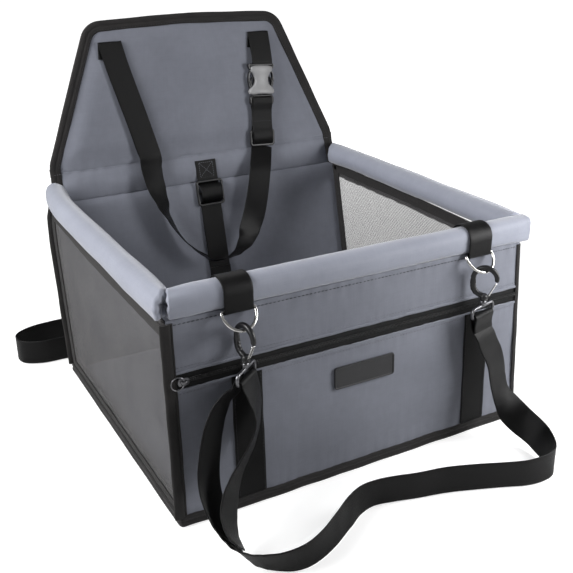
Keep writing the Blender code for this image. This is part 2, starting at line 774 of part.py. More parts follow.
# The hook's spine: share of its half width to the left, and share of the neck's depth
HOOK_SPINE_SHARES = ((1.0, 0.55), (0.93, 0.764), (0.62, 0.914), (0.18, 0.992))


def hook_rod(stud):
    """An open oval hook in local XZ, crown on top, with a barrel and a swivel stud below."""
    half = HOOK_HALF_WIDTH
    crown = HOOK_CROWN_RADIUS
    points = [Vector((half, 0, -HOOK_NOSE_DEPTH))]
    radii = [HOOK_NOSE_RADIUS]
    for x, z in arc((0, -half), half, 0, 180, 9):
        points.append(Vector((x, 0, z)))
        radii.append(crown)
    for across, drop in HOOK_SPINE_SHARES:
        points.append(Vector((-half * across, 0, -HOOK_NECK_DEPTH * drop)))
        radii.append(HOOK_SPINE_RADIUS)
    barrel_top = -HOOK_NECK_DEPTH
    barrel_low = barrel_top - HOOK_BARREL_LENGTH
    stud_low = barrel_low - GAP - EYE_TAB_HEIGHT - EYE_BAR - GAP
    stack = [(barrel_top, HOOK_BARREL_RADIUS * 0.9),
             (barrel_top - HOOK_BARREL_LENGTH * 0.3, HOOK_BARREL_RADIUS), (barrel_low, HOOK_BARREL_RADIUS)]
    if stud:
        stack += [(barrel_low, STUD_RADIUS), (stud_low, STUD_RADIUS), (stud_low, STUD_HEAD_RADIUS),
                  (stud_low - STUD_HEAD_LENGTH, STUD_HEAD_RADIUS)]
    for z, radius in stack:
        points.append(Vector((0, 0, z)))
        radii.append(radius)
    return wire(points, radii, sides=10)


def gate_ends():
    """Foot and tip of the gate in the hook's plane, as X and Z."""
    foot = (HOOK_HALF_WIDTH * 0.42, -HOOK_NECK_DEPTH + HOOK_BARREL_RADIUS * 0.1)
    tip = (HOOK_HALF_WIDTH - HOOK_NOSE_RADIUS * 0.2, -HOOK_NOSE_DEPTH - HOOK_NOSE_RADIUS - GAP * 3)
    return foot, tip


def gate_wire():
    """A thin wire staple from the hook's foot to just below its nose, its foot at the origin."""
    foot, tip = gate_ends()
    run = Vector((tip[0] - foot[0], 0, tip[1] - foot[1]))
    spread = Vector((0, GATE_HALF_SPREAD, 0))
    bend = run.normalized() * GATE_HALF_SPREAD
    end = run - bend
    points = [-spread, end * 0.5 - spread, end - spread]
    for k in range(1, 5):
        angle = math.pi * k / 5
        points.append(end + bend * math.sin(angle) - spread * math.cos(angle))
    points += [end + spread, end * 0.5 + spread, spread]
    normal = run.normalized().cross(Vector((0, 1, 0)))
    return wire(points, [GATE_WIRE] * len(points), sides=6, normal=normal)


def eye_blank(width):
    """A flat eye in local XZ: a slot for webbing with a tab above it."""
    slot_w = width - 2 * EYE_BAR
    height = EYE_SLOT_HEIGHT + 2 * EYE_BAR
    low = -EYE_TAB_HEIGHT - height
    tab = EYE_TAB_WIDTH / 2
    foot = EYE_TAB_HEIGHT * 0.8
    corners = [(-width / 2, low), (width / 2, low), (width / 2, -EYE_TAB_HEIGHT), (tab, -foot),
               (tab * 0.8, 0), (-tab * 0.8, 0), (-tab, -foot), (-width / 2, -EYE_TAB_HEIGHT)]
    radii = [EYE_CORNER, EYE_CORNER, EYE_CORNER, 0, 0, 0, 0, EYE_CORNER]
    outline = rounded_polygon(corners, radii, steps=3)
    centre = (0, -EYE_TAB_HEIGHT - height / 2)
    slot = rounded_rectangle(slot_w, EYE_SLOT_HEIGHT, EYE_CORNER / 2, steps=2, centre=centre)
    bm = plate(outline, EYE_THICKNESS, holes=[slot], base=-EYE_THICKNESS / 2)
    bmesh.ops.rotate(bm, verts=bm.verts, matrix=Matrix.Rotation(math.pi / 2, 3, "X"))
    return bm


def eye_plate(width):
    """The eye with its tab bored for the hook's swivel stud."""
    body = temporary("eye_body", eye_blank(width))
    drill = bmesh.new()
    length = EYE_TAB_HEIGHT + EYE_BAR + EYE_SLOT_HEIGHT
    bmesh.ops.create_cone(drill, cap_ends=True, segments=12, radius1=STUD_RADIUS + EYE_HOLE_PLAY,
                          radius2=STUD_RADIUS + EYE_HOLE_PLAY, depth=length)
    bmesh.ops.translate(drill, verts=drill.verts, vec=(0, 0, -length / 2 + EYE_SLOT_HEIGHT / 2))
    return joined(body, temporary("eye_drill", drill), "DIFFERENCE")


def tether_crown_drop():
    """Place of the tether hook's crown line above its eye bar, in the hook's own upright frame."""
    return HOOK_NECK_DEPTH + HOOK_BARREL_LENGTH + EYE_BAR * 1.5 + EYE_SLOT_HEIGHT


def tether_hook():
    """A hook with a fixed eye, in local XZ; the eye's lower bar is on the origin."""
    rod = hook_rod(stud=False)
    bmesh.ops.translate(rod, verts=rod.verts, vec=(0, 0, tether_crown_drop()))
    eye = eye_blank(EYE_WIDTH)
    rise = EYE_TAB_HEIGHT + EYE_BAR * 1.5 + EYE_SLOT_HEIGHT
    bmesh.ops.translate(eye, verts=eye.verts, vec=(0, 0, rise))
    return joined(temporary("tether_rod", rod), temporary("tether_eye", eye), "UNION")


def eye_bar_drop():
    """How far the middle of the eye's lower bar lies below the hook's crown line."""
    return (HOOK_NECK_DEPTH + HOOK_BARREL_LENGTH + GAP + EYE_TAB_HEIGHT + EYE_BAR + EYE_SLOT_HEIGHT
            + EYE_BAR / 2)


def build_hook(name, pivot, crown, hook_yaw, eye_yaw, tab_width):
    """One snap hook: eye and hook hang from the pivot, the gate turns on the hook."""
    eye_drop = -HOOK_NECK_DEPTH - HOOK_BARREL_LENGTH - GAP
    hook_at = make_empty(name + "_hook_origin", crown, (0, 0, math.radians(hook_yaw)), pivot)
    make_object(name + "_hook", hook_rod(stud=True), BLACK_PLASTIC, hook_at, smooth=True)
    foot, _ = gate_ends()
    make_object(name + "_gate", gate_wire(), NICKEL, hook_at, location=(foot[0], 0, foot[1]), smooth=True)
    eye_at = make_empty(name + "_eye_origin", crown, (0, 0, math.radians(eye_yaw)), pivot)
    make_object(name + "_eye", eye_plate(tab_width), GUNMETAL, eye_at, location=(0, 0, eye_drop),
                smooth=True)


def ring_pivot(sign):
    """World place of a D-ring's bar."""
    bar_y, bar_z = bar_place()
    return Vector((sign * strip_x, rim_y + bar_y, RIM_HEIGHT + bar_z))


def hook_crown():
    """Middle of the hook's crown rod from the D-ring's bar: it rests on the bow."""
    tilt = math.radians(RING_TILT_DEG)
    lift = RING_WIRE + GAP + HOOK_CROWN_RADIUS
    return Vector((0, -RING_DROP * math.sin(tilt), -RING_DROP * math.cos(tilt) + lift))


def build_hooks():
    """D-rings in their loops, and the snap hooks of the carry strap that hang in them."""
    for name, sign, hook_yaw, eye_yaw in (("left", -1, LEFT_HOOK_YAW_DEG, LEFT_EYE_YAW_DEG),
                                          ("right", 1, RIGHT_HOOK_YAW_DEG, RIGHT_EYE_YAW_DEG)):
        pivot = make_empty(name + "_ring_origin", ring_pivot(sign))
        make_object(name + "_d_ring", d_ring(), NICKEL, pivot,
                    rotation=(math.radians(-RING_TILT_DEG), 0, 0), smooth=True)
        build_hook(name, pivot, hook_crown(), hook_yaw, eye_yaw, EYE_WIDTH)


def eye_bar(sign, eye_yaw):
    """World middle of an eye's lower bar, and the bar's direction."""
    middle = ring_pivot(sign) + hook_crown() - Vector((0, 0, eye_bar_drop()))
    yaw = math.radians(eye_yaw)
    return middle, Vector((math.cos(yaw), math.sin(yaw), 0))


def bar_reach(thickness):
    """Distance from the middle of an eye's square bar to the webbing that bends round it."""
    corner = math.hypot(EYE_THICKNESS, EYE_BAR) / 2
    return corner / math.cos(math.pi / (2 * WRAP_STEPS)) + GAP + thickness / 2


def bar_wrap(middle, direction, reach):
    """Points of a strap over a bar: up one side, over, and down the other."""
    ahead = direction.cross(Vector((0, 0, 1)))
    points = []
    for k in range(WRAP_STEPS + 1):
        angle = math.pi * k / WRAP_STEPS
        points.append(middle + ahead * reach * math.cos(angle) + Vector((0, 0, reach * math.sin(angle))))
    return points


# Route of the carry strap along the floor, from its right end to its left end
CARRY_ROUTE = (
    (0.1560, -0.1990, 0.0680), (0.1610, -0.2140, 0.0480), (0.1700, -0.2370, 0.0300),
    (0.1815, -0.2570, 0.0190), (0.1870, -0.2730, 0.0165), (0.1780, -0.2910, 0.0165),
    (0.1520, -0.3000, 0.0165), (0.1100, -0.2890, 0.0165), (0.0640, -0.2650, 0.0165),
    (0.0150, -0.2440, 0.0165), (-0.0260, -0.2390, 0.0165), (-0.0580, -0.2520, 0.0165),
    (-0.0920, -0.2780, 0.0165), (-0.1280, -0.2960, 0.0165), (-0.1560, -0.2910, 0.0170),
    (-0.1730, -0.2640, 0.0220),
)
# Which way the webbing's width lies at each point of the route
CARRY_ACROSS = (
    (0.80, -0.25, 0.15), (0.70, -0.20, 0.60), (0.45, -0.10, 0.85), (0.18, 0.00, 1.0),
    (0, 0, 1), (0, 0, 1), (0, 0, 1), (0, 0, 1),
    (0, 0, 1), (0, 0, 1), (0, 0, 1), (0, 0, 1),
    (0, 0, 1), (0, 0, 1), (0.05, 0.05, 1), (0.25, 0.20, 0.95),
)


# How far below an eye the strap closes up, as a share of its width
CLOSE_SHARE = 0.4
# Left end of the strap: the strand that rises to the eye and the one that falls from it
LEFT_RISE = ((-0.1800, -0.2420, 0.0350), (-0.1890, -0.2180, 0.0640), (-0.1760, -0.2020, 0.1020))
LEFT_RISE_ACROSS = ((0.55, 0.25, 0.60), (0.75, 0.35, 0.15), (0.83, -0.50, 0))
LEFT_FALL = ((-0.1290, -0.1960, 0.1040), (-0.1340, -0.2040, 0.0700), (-0.1560, -0.2220, 0.0480))
LEFT_FALL_ACROSS = ((0.85, -0.50, 0), (0.75, -0.10, 0.35), (0.45, 0.20, 0.75))


def vectors(points):
    return [Vector(p) for p in points]


def build_carry_strap():
    """The long webbing strap: two sewn ends through the eyes and the length that lies on the floor."""
    route = vectors(CARRY_ROUTE)
    curve = smooth_curve(route, 4)
    twist = eased_sides(vectors(CARRY_ACROSS), 4)
    make_object("carry_strap", strap(curve, twist, CARRY_WIDTH, CARRY_THICKNESS), BLACK_WEBBING,
                smooth=True)
    reach = bar_reach(CARRY_THICKNESS)
    closing = reach - (CARRY_THICKNESS + GAP) / 2
    down = Vector((0, 0, -CARRY_WIDTH))

    # Right end: a short tail sewn to the strap below the eye
    middle, way = eye_bar(1, RIGHT_EYE_YAW_DEG)
    wrap = bar_wrap(middle, way, reach)
    ahead = way.cross(Vector((0, 0, 1)))
    run = (curve[1] - curve[0]).normalized()
    meet = route[0] - run * SEAM_GAP
    tail = wrap[0] + down * CLOSE_SHARE - ahead * closing
    lead = wrap[-1] + down * CLOSE_SHARE + ahead * closing
    points = [tail + down * CLOSE_SHARE, tail] + wrap
    points += [lead, lead + down / 2, meet - run * CARRY_WIDTH * CLOSE_SHARE, meet]
    sides = [way] * (len(points) - 2) + [way.lerp(twist[0], 0.5), twist[0]]
    make_object("right_strap_end", smooth_strap(points, sides, CARRY_WIDTH, CARRY_THICKNESS, 2),
                BLACK_WEBBING, smooth=True)

    # Left end: the strap runs up, over the eye and back down to where it is sewn
    middle, way = eye_bar(-1, LEFT_EYE_YAW_DEG)
    wrap = bar_wrap(middle, way, reach)
    run = (curve[-1] - curve[-2]).normalized()
    last = route[-1] + run * SEAM_GAP
    rise = [last, last + run * CARRY_WIDTH * CLOSE_SHARE] + vectors(LEFT_RISE)
    rise_sides = [twist[-1], twist[-1]] + vectors(LEFT_RISE_ACROSS)
    normal = (rise[3] - rise[1]).cross(rise_sides[2]).normalized()
    sewn = normal * math.copysign(CARRY_THICKNESS + 2 * GAP, normal.x)
    laps = [rise[2] + sewn, rise[2].lerp(rise[1], 0.5) + sewn]
    ahead = way.cross(Vector((0, 0, 1)))
    below = down * CLOSE_SHARE
    under = [wrap[0] + below + ahead * GAP] + wrap + [wrap[-1] + below + ahead * CARRY_THICKNESS]
    points = [last, last.lerp(rise[1], 0.5)] + rise[1:] + under + vectors(LEFT_FALL) + laps
    sides = [twist[-1]] + rise_sides + [way] * len(under) + vectors(LEFT_FALL_ACROSS)
    sides += [rise_sides[2], rise_sides[2].lerp(rise_sides[1], 0.5)]
    make_object("left_strap_end", smooth_strap(points, sides, CARRY_WIDTH, CARRY_THICKNESS, 3),
                BLACK_WEBBING, smooth=True)


# The left harness strap below its fold: share of its height, and share moved inwards
LEFT_STRAP_SHARES = ((0.82, 0.05), (0.6, 0.13), (0.36, 0.22), (0.1, 0.31))
# How far the strap stands off the flap at its lower end, as a share of its doubled thickness
HARNESS_LIFT_SHARE = 3.2


def left_strap_point(share, inward):
    """A place on the left harness strap, which leaves the flap as it comes down."""
    lift = GAP + HARNESS_THICKNESS / 2
    doubled = HARNESS_THICKNESS + GAP
    away = doubled * (1 + (1 - share) * HARNESS_LIFT_SHARE)
    return Vector((-harness_x * (1 - inward), HARNESS_TOP * share, lift + away))


def harness_left_end():
    return left_strap_point(*LEFT_STRAP_SHARES[-1])


def harness_left_run():
    """The left strap's direction at its lower end."""
    return (harness_left_end() - left_strap_point(*LEFT_STRAP_SHARES[-2])).normalized()


def build_harness(plane):
    """Harness webbing and its side-release buckle on the flap."""
    lift = GAP + HARNESS_THICKNESS / 2
    doubled = HARNESS_THICKNESS + GAP
    side = Vector((1, 0, 0))

    # Left strap: sewn stub, folded over at the top, then down and inwards off the flap
    fold = (HARNESS_THICKNESS + GAP) / 2
    start = HARNESS_TOP - ANCHOR_STUB
    points = [Vector((-harness_x, start, lift)), Vector((-harness_x, HARNESS_TOP - fold, lift))]
    for k in range(1, 6):
        angle = -math.pi / 2 + math.pi * k / 6
        points.append(Vector((-harness_x, HARNESS_TOP - fold + fold * math.cos(angle),
                              lift + fold + fold * math.sin(angle))))
    points.append(Vector((-harness_x, HARNESS_TOP - fold, lift + doubled)))
    points += [left_strap_point(*shares) for shares in LEFT_STRAP_SHARES]
    bm = strap(points, [side] * len(points), HARNESS_WIDTH, HARNESS_THICKNESS)
    make_object("harness_left_strap", bm, BLACK_WEBBING, plane, smooth=True)

    # Right strap: the same stub, then a short run to the socket half of the buckle
    turn = math.radians(HARNESS_TURN_DEG)
    x = socket_x + (HARNESS_TOP - FEMALE_TOP) * math.tan(turn)
    points = [Vector((x, start, lift)), Vector((x, HARNESS_TOP - fold, lift))]
    for k in range(1, 6):
        angle = -math.pi / 2 + math.pi * k / 6
        points.append(Vector((x, HARNESS_TOP - fold + fold * math.cos(angle),
                              lift + fold + fold * math.sin(angle))))
    middle = BUCKLE_LIFT + BUCKLE_THICKNESS / 2
    points.append(Vector((x, HARNESS_TOP - fold, lift + doubled)))
    up = Vector((math.sin(turn), math.cos(turn), 0))
    foot = Vector((socket_x, FEMALE_TOP, middle)) + up * GAP
    points += [foot + up * HARNESS_WIDTH / 4, foot]
    sides = [side] * (len(points) - 2) + [Vector((math.cos(turn), -math.sin(turn), 0))] * 2
    bm = strap(points, sides, HARNESS_WIDTH, HARNESS_THICKNESS)
    make_object("harness_right_strap", bm, BLACK_WEBBING, plane, smooth=True)
    build_buckle(plane, middle)


# A prong's outline: share of its width in from its outer edge, and share of its length
PRONG_SHARES = ((0.7, 0), (1.0, 0.7), (0.4, 1.0), (0, 0.75))


def build_buckle(plane, middle):
    """Socket half with a mouth below, prong half that slides down out of it, and a web slider."""
    at = make_empty("buckle_origin", (socket_x, FEMALE_TOP, middle),
                    (0, 0, -math.radians(HARNESS_TURN_DEG)), plane)
    width, thick = BUCKLE_WIDTH, BUCKLE_THICKNESS
    socket = rounded_rectangle(width, FEMALE_LENGTH, BUCKLE_CORNER, centre=(0, -FEMALE_LENGTH / 2))
    body = temporary("socket_body", plate(socket, thick, base=-thick / 2))
    mouth_w = width - 2 * BUCKLE_WALL
    mouth = block((-mouth_w / 2, -FEMALE_LENGTH - BUCKLE_CORNER, -thick / 2 + BUCKLE_WALL),
                  (mouth_w / 2, -FEMALE_LENGTH + PRONG_LENGTH + BUCKLE_WALL, thick / 2 - BUCKLE_WALL))
    hollow = temporary("socket_hollow", joined(body, temporary("socket_mouth", mouth), "DIFFERENCE"))
    window_low = -FEMALE_LENGTH + BUCKLE_WALL * 3
    window_high = -FEMALE_LENGTH + PRONG_LENGTH - BUCKLE_WALL
    windows = block((-width, window_low, -PRONG_THICKNESS / 2), (width, window_high, PRONG_THICKNESS / 2))
    make_object("buckle_socket", joined(hollow, temporary("socket_windows", windows), "DIFFERENCE"),
                GREY_PLASTIC, at, smooth=True)

    prong_at = make_empty("prong_origin", (0, -FEMALE_LENGTH - GAP, 0), parent=at)
    half = width / 2
    inner_half = mouth_w / 2 - GAP
    right = [(PRONG_WIDTH / 4, PRONG_LENGTH * 0.6), (PRONG_WIDTH / 4, 0)]
    right += [(inner_half - PRONG_WIDTH * inwards, PRONG_LENGTH * rise) for inwards, rise in PRONG_SHARES]
    right += [(inner_half, 0), (half, 0), (half, -MALE_LENGTH)]
    outline = right + [(-x, y) for x, y in reversed(right)]
    slot_low = -MALE_LENGTH + BUCKLE_BAR
    slot = [(-HARNESS_WIDTH / 2 - GAP, slot_low), (HARNESS_WIDTH / 2 + GAP, slot_low),
            (HARNESS_WIDTH / 2 + GAP, -BUCKLE_BAR), (-HARNESS_WIDTH / 2 - GAP, -BUCKLE_BAR)]
    bm = plate(outline, PRONG_THICKNESS, holes=[slot], base=-PRONG_THICKNESS / 2)
    make_object("buckle_prongs", bm, BLACK_PLASTIC, prong_at)
    glide_top = -MALE_LENGTH - GLIDE_DROP
    centre = (0, glide_top - GLIDE_LENGTH / 2)
    outline = rounded_rectangle(width, GLIDE_LENGTH, BUCKLE_CORNER, steps=3, centre=centre)
    slot_h = (GLIDE_LENGTH - 3 * GLIDE_BAR) / 2
    holes = []
    for sign in (-1, 1):
        slot_centre = (0, centre[1] + sign * (GLIDE_BAR + slot_h) / 2)
        holes.append(rounded_rectangle(HARNESS_WIDTH + 2 * GAP, slot_h, GAP * 2, steps=1,
                                       centre=slot_centre))
    bm = plate(outline, GLIDE_THICKNESS, holes=holes, base=-GLIDE_THICKNESS / 2)
    make_object("harness_glide", bm, BLACK_PLASTIC, prong_at)


def flap_matrix():
    """The flap plane's place in the world."""
    origin = Vector((0, back_face_y(hinge_height), hinge_height))
    return Matrix.Translation(origin) @ Matrix.Rotation(math.pi / 2 - flap_angle, 4, "X")


def wrap_bar(bar_top, reach, sides=6):
    """Points in YZ of a strap that comes up in front of a bar, over it and down behind."""
    points = []
    for k in range(sides + 1):
        angle = math.pi * k / sides
        points.append(Vector((0, bar_top + reach * math.sin(angle), reach * math.cos(angle))))
    return points


# Strap through a slider: share of the bar pitch from the middle, and share of the reach in front
THREAD_SHARES = ((2.4, -1.05), (1.65, -1.05), (1.0, 0), (0.42, 1.05))


def thread_glide(centre_y, pitch, reach):
    """Points of a strap that passes behind, over a slider's middle bar and behind again."""
    path = [(share, side) for share, side in THREAD_SHARES]
    path += [(0, 1)] + [(-share, side) for share, side in reversed(THREAD_SHARES)]
    return [Vector((0, centre_y + pitch * share, reach * side)) for share, side in path]


# Hanging stretch of the harness between its two sides, from left to right of the flap's hinge
HARNESS_SAG = (
    (-0.0680, -0.0276, -0.0342), (-0.0600, -0.0436, -0.0672), (-0.0420, -0.0586, -0.0952),
    (-0.0140, -0.0636, -0.1172), (0.0160, -0.0636, -0.1262), (0.0370, -0.0586, -0.1172),
    (0.0510, -0.0496, -0.0882), (0.0680, -0.0356, -0.0402),
)
# Which way the webbing's width lies at each point of that stretch
HARNESS_ACROSS = (
    (0.90, -0.30, 0.20), (0.75, -0.55, 0.30), (0.45, -0.75, 0.40), (0.20, -0.90, 0.25),
    (0.25, -0.90, -0.10), (0.60, -0.70, -0.20), (0.90, -0.35, -0.15), (1.0, -0.10, 0.0),
)


def build_harness_loop():
    """The stretch of harness webbing that hangs into the cabin."""
    flap = flap_matrix()
    middle = BUCKLE_LIFT + BUCKLE_THICKNESS / 2
    buckle = flap @ Matrix.Translation(Vector((socket_x, FEMALE_TOP, middle)))
    buckle = buckle @ Matrix.Rotation(-math.radians(HARNESS_TURN_DEG), 4, "Z")
    buckle = buckle @ Matrix.Translation(Vector((0, -FEMALE_LENGTH - GAP, 0)))
    bar_low = -MALE_LENGTH
    reach = PRONG_THICKNESS / 2 + GAP + HARNESS_THICKNESS / 2
    wrap = wrap_bar(bar_low + BUCKLE_BAR, reach)
    closed = (HARNESS_THICKNESS + GAP) / 2
    tail_y = bar_low - GLIDE_DROP / 2
    tail_end = tail_y - HARNESS_THICKNESS * 2
    local = [Vector((0, tail_end, closed)), Vector((0, tail_y, closed)), Vector((0, bar_low, reach))] + wrap
    local += [Vector((0, bar_low, -reach)), Vector((0, tail_y, -closed)), Vector((0, tail_end, -closed))]
    glide_reach = GLIDE_THICKNESS / 2 + GAP + HARNESS_THICKNESS / 2
    centre = bar_low - GLIDE_DROP - GLIDE_LENGTH / 2
    pitch = (GLIDE_LENGTH - GLIDE_BAR) / 4
    local += thread_glide(centre, pitch, glide_reach)
    points = [buckle @ p for p in local]
    way = (buckle.to_3x3() @ Vector((1, 0, 0))).normalized()
    sides = [way] * len(points)
    sag = [flap.translation + place for place in reversed(vectors(HARNESS_SAG))]
    points += sag
    sides += list(reversed(vectors(HARNESS_ACROSS)))
    for away in (HARNESS_WIDTH / 3, SEAM_GAP):
        points.append(flap @ (harness_left_end() + harness_left_run() * away))
        sides.append(Vector((1, 0, 0)))
    bm = smooth_strap(points, sides, HARNESS_WIDTH, HARNESS_THICKNESS, 3)
    make_object("harness_loop", bm, BLACK_WEBBING, smooth=True)


def build_tether():
    """Safety tether: sewn to the back panel, through its slider, down to a hook."""
    plane = make_empty("tether_plane", (0, back_face_y(0), 0), (math.pi / 2 - back_angle, 0, 0))
    slant = 1 / math.cos(back_angle)
    lift = GAP + TETHER_THICKNESS / 2
    top = tether_top * slant
    slider_top = (tether_top - TETHER_SLIDER_DROP) * slant
    slider_z = TETHER_SLIDER_CLEARANCE + TETHER_THICKNESS + GLIDE_THICKNESS / 2
    centre_y = slider_top - TETHER_SLIDER_LENGTH / 2
    x = TETHER_X
    outline = rounded_rectangle(TETHER_SLIDER_WIDTH, TETHER_SLIDER_LENGTH, BUCKLE_CORNER, steps=3,
                                centre=(x, centre_y))
    slot_h = (TETHER_SLIDER_LENGTH - 3 * GLIDE_BAR) / 2
    holes = []
    for sign in (-1, 1):
        slot_centre = (x, centre_y + sign * (GLIDE_BAR + slot_h) / 2)
        holes.append(rounded_rectangle(TETHER_WIDTH + 2 * GAP, slot_h, GAP * 2, steps=1,
                                       centre=slot_centre))
    bm = plate(outline, GLIDE_THICKNESS, holes=holes, base=slider_z - GLIDE_THICKNESS / 2)
    make_object("tether_slider", bm, BLACK_PLASTIC, plane)

    end = TETHER_END_HEIGHT * slant
    hook_z = TETHER_HOOK_CLEARANCE
    reach = GLIDE_THICKNESS / 2 + GAP + TETHER_THICKNESS / 2
    pitch = (TETHER_SLIDER_LENGTH - GLIDE_BAR) / 4
    threaded = [Vector((x, p.y, slider_z + p.z)) for p in thread_glide(centre_y, pitch, reach)]
    points = [Vector((x, top, lift)), Vector((x, top - TETHER_PATCH_LENGTH / 2, lift))] + threaded
    around = bar_reach(TETHER_THICKNESS)
    closed = (TETHER_THICKNESS + GAP) / 2
    for rise, away in ((TETHER_CLOSED, closed), (TETHER_CLOSED / 2, closed), (around * 1.6, around * 0.9)):
        points.append(Vector((x, end + rise, hook_z - away)))
    for k in range(WRAP_STEPS + 1):
        angle = math.pi * k / WRAP_STEPS
        points.append(Vector((x, end - around * math.sin(angle), hook_z - around * math.cos(angle))))
    for rise, away in ((around * 1.6, around * 0.9), (TETHER_CLOSED / 2, closed), (TETHER_CLOSED, closed)):
        points.append(Vector((x, end + rise, hook_z + away)))
    bm = smooth_strap(points, [Vector((1, 0, 0))] * len(points), TETHER_WIDTH, TETHER_THICKNESS, 2)
    make_object("tether_strap", bm, BLACK_WEBBING, plane, smooth=True)

    hook_at = make_empty("tether_hook_origin", (x, end, hook_z), (math.pi / 2, 0, 0), plane)
    make_object("tether_hook", tether_hook(), BLACK_PLASTIC, hook_at, smooth=True)
    foot, _ = gate_ends()
    drop = tether_crown_drop()
    make_object("tether_gate", gate_wire(), NICKEL, hook_at, location=(foot[0], 0, drop + foot[1]),
                smooth=True)


# Route of the rear strap's loop on the floor, as X and as Y behind its sewn ends
REAR_SEWN_X = -0.105
REAR_ROUTE = (
    (-0.1650, 0.0173), (-0.1980, 0.0263), (-0.2320, 0.0293), (-0.2530, 0.0423), (-0.2540, 0.0633),
    (-0.2350, 0.0773), (-0.1900, 0.0823), (-0.1200, 0.0783), (-0.0500, 0.0583), (0.0050, 0.0283),
    (0.0400, 0.0113),
)


def build_rear_strap():
    """Seat strap sewn to the back cover at both ends; its loop lies on the floor behind."""
    rear = BACK_THICKNESS / math.cos(back_angle)
    stand = REAR_WIDTH / 2 + REAR_CLEARANCE
    off = rear + (2 * GAP + REAR_THICKNESS / 2) / math.cos(back_angle)
    sewn_y = back_face_y(stand + BINDING_WIDTH) + off
    upright = Vector((0, math.sin(back_angle), math.cos(back_angle)))
    level = Vector((0, 0, 1))
    raised = stand + BINDING_WIDTH
    eased = sewn_y + REAR_THICKNESS
    left_end = REAR_SEWN_X - REAR_WIDTH
    right_end = -REAR_SEWN_X - REAR_WIDTH
    leaving = REAR_WIDTH / 5
    points = [Vector((REAR_SEWN_X, sewn_y, raised)), Vector((left_end, sewn_y, raised)),
              Vector((left_end - leaving, eased, raised))]
    sides = [upright] * 3
    for x, y in REAR_ROUTE:
        points.append(Vector((x, sewn_y + y, stand)))
        sides.append(level)
    sides[3] = sides[-1] = upright.lerp(level, 0.5)
    points += [Vector((right_end - leaving, eased, raised)), Vector((right_end, sewn_y, raised)),
               Vector((-REAR_SEWN_X, sewn_y, raised))]
    sides += [upright] * 3
    bm = smooth_strap(points, sides, REAR_WIDTH, REAR_THICKNESS, 3)
    make_object("rear_strap", bm, BLACK_WEBBING, smooth=True)


def build():
    clear_scene()
    build_base()
    build_front()
    build_sides()
    build_back()
    flap = build_flap()
    build_rim()
    build_bindings()
    build_ring_loops()
    build_hooks()
    build_carry_strap()
    build_harness(flap)
    build_harness_loop()
    build_tether()
    build_rear_strap()


build()
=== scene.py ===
"""Folding dog car booster seat: cloth, webbing, zip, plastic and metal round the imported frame."""

import math

import bmesh
import bpy
import numpy as np
from mathutils import Matrix, Vector


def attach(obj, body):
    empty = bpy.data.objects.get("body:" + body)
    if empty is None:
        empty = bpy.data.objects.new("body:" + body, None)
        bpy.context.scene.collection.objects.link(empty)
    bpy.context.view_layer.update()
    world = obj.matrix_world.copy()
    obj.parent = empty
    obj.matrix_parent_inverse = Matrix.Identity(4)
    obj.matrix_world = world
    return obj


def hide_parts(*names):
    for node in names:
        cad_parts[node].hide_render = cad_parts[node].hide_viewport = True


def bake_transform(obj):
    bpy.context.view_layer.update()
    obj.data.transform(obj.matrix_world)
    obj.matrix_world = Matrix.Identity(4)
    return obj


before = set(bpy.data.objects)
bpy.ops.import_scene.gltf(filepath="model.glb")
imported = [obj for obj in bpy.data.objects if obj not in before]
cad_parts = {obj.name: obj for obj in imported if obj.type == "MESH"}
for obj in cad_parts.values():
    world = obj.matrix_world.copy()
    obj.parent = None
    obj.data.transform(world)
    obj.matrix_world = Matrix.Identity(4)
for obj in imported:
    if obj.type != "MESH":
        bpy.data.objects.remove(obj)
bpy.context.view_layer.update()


# Sizes, in metres

HALF_WIDTH = 0.2015
RIM_Y = -0.15926
RIM_HEIGHT = 0.220
RIM_BACK = RIM_Y + 0.378
SIDE_RIM_X = 0.200
SLEEVE_RADIUS = 0.0138
FRONT_FOOT_Y = -0.17626
BASE_DEPTH = 0.35252
FRONT_SLOPE = 0.0413
BACK_SLOPE = 0.23818
BACK_THICKNESS = 0.0071
SEAM_HEIGHT = 0.2056
HINGE = (0.0, 0.22355, 0.2402)
FLAP_LEAN = math.asin(0.0219 / 0.1748)
ZIP_HEIGHT = 0.149
STRIP_X = 0.1355
# The front strips as drawn, a little off the loops above them, by side
STRIPS = {-1: -0.1285, 1: 0.1400}
STRIP_WIDTH = 0.031
HARNESS_X = 0.100
SOCKET_X = 0.0970
HARNESS_TOP = 0.1465
SOCKET_TOP = 0.1030
CLOTH = 0.0015
GAP = 0.0003
EDGE_ROLL = 0.0015


# Shader sums

class Wire:
    """A shader socket that joins in plain sums."""

    def __init__(self, finish, socket):
        self.finish = finish
        self.socket = socket

    def maths(self, operation, *others):
        return self.finish.node("ShaderNodeMath", {"operation": operation}, (self, *others))

    def __add__(self, other):
        return self.maths("ADD", other)

    __radd__ = __add__

    def __rsub__(self, other):
        return self.finish.node("ShaderNodeMath", {"operation": "SUBTRACT"}, (other, self))

    def __mul__(self, other):
        return self.maths("MULTIPLY", other)

    __rmul__ = __mul__

    def sine(self):
        return self.maths("SINE")

    def size(self):
        return self.maths("ABSOLUTE")

    def over(self, level):
        return self.maths("GREATER_THAN", level)

    def most(self, other):
        return self.maths("MAXIMUM", other)

    def ramp(self, low, high, start=0.0, end=1.0):
        """This value carried from low..high to start..end, and held there."""
        return self.finish.node("ShaderNodeMapRange", {"clamp": True}, (self, low, high, start, end))


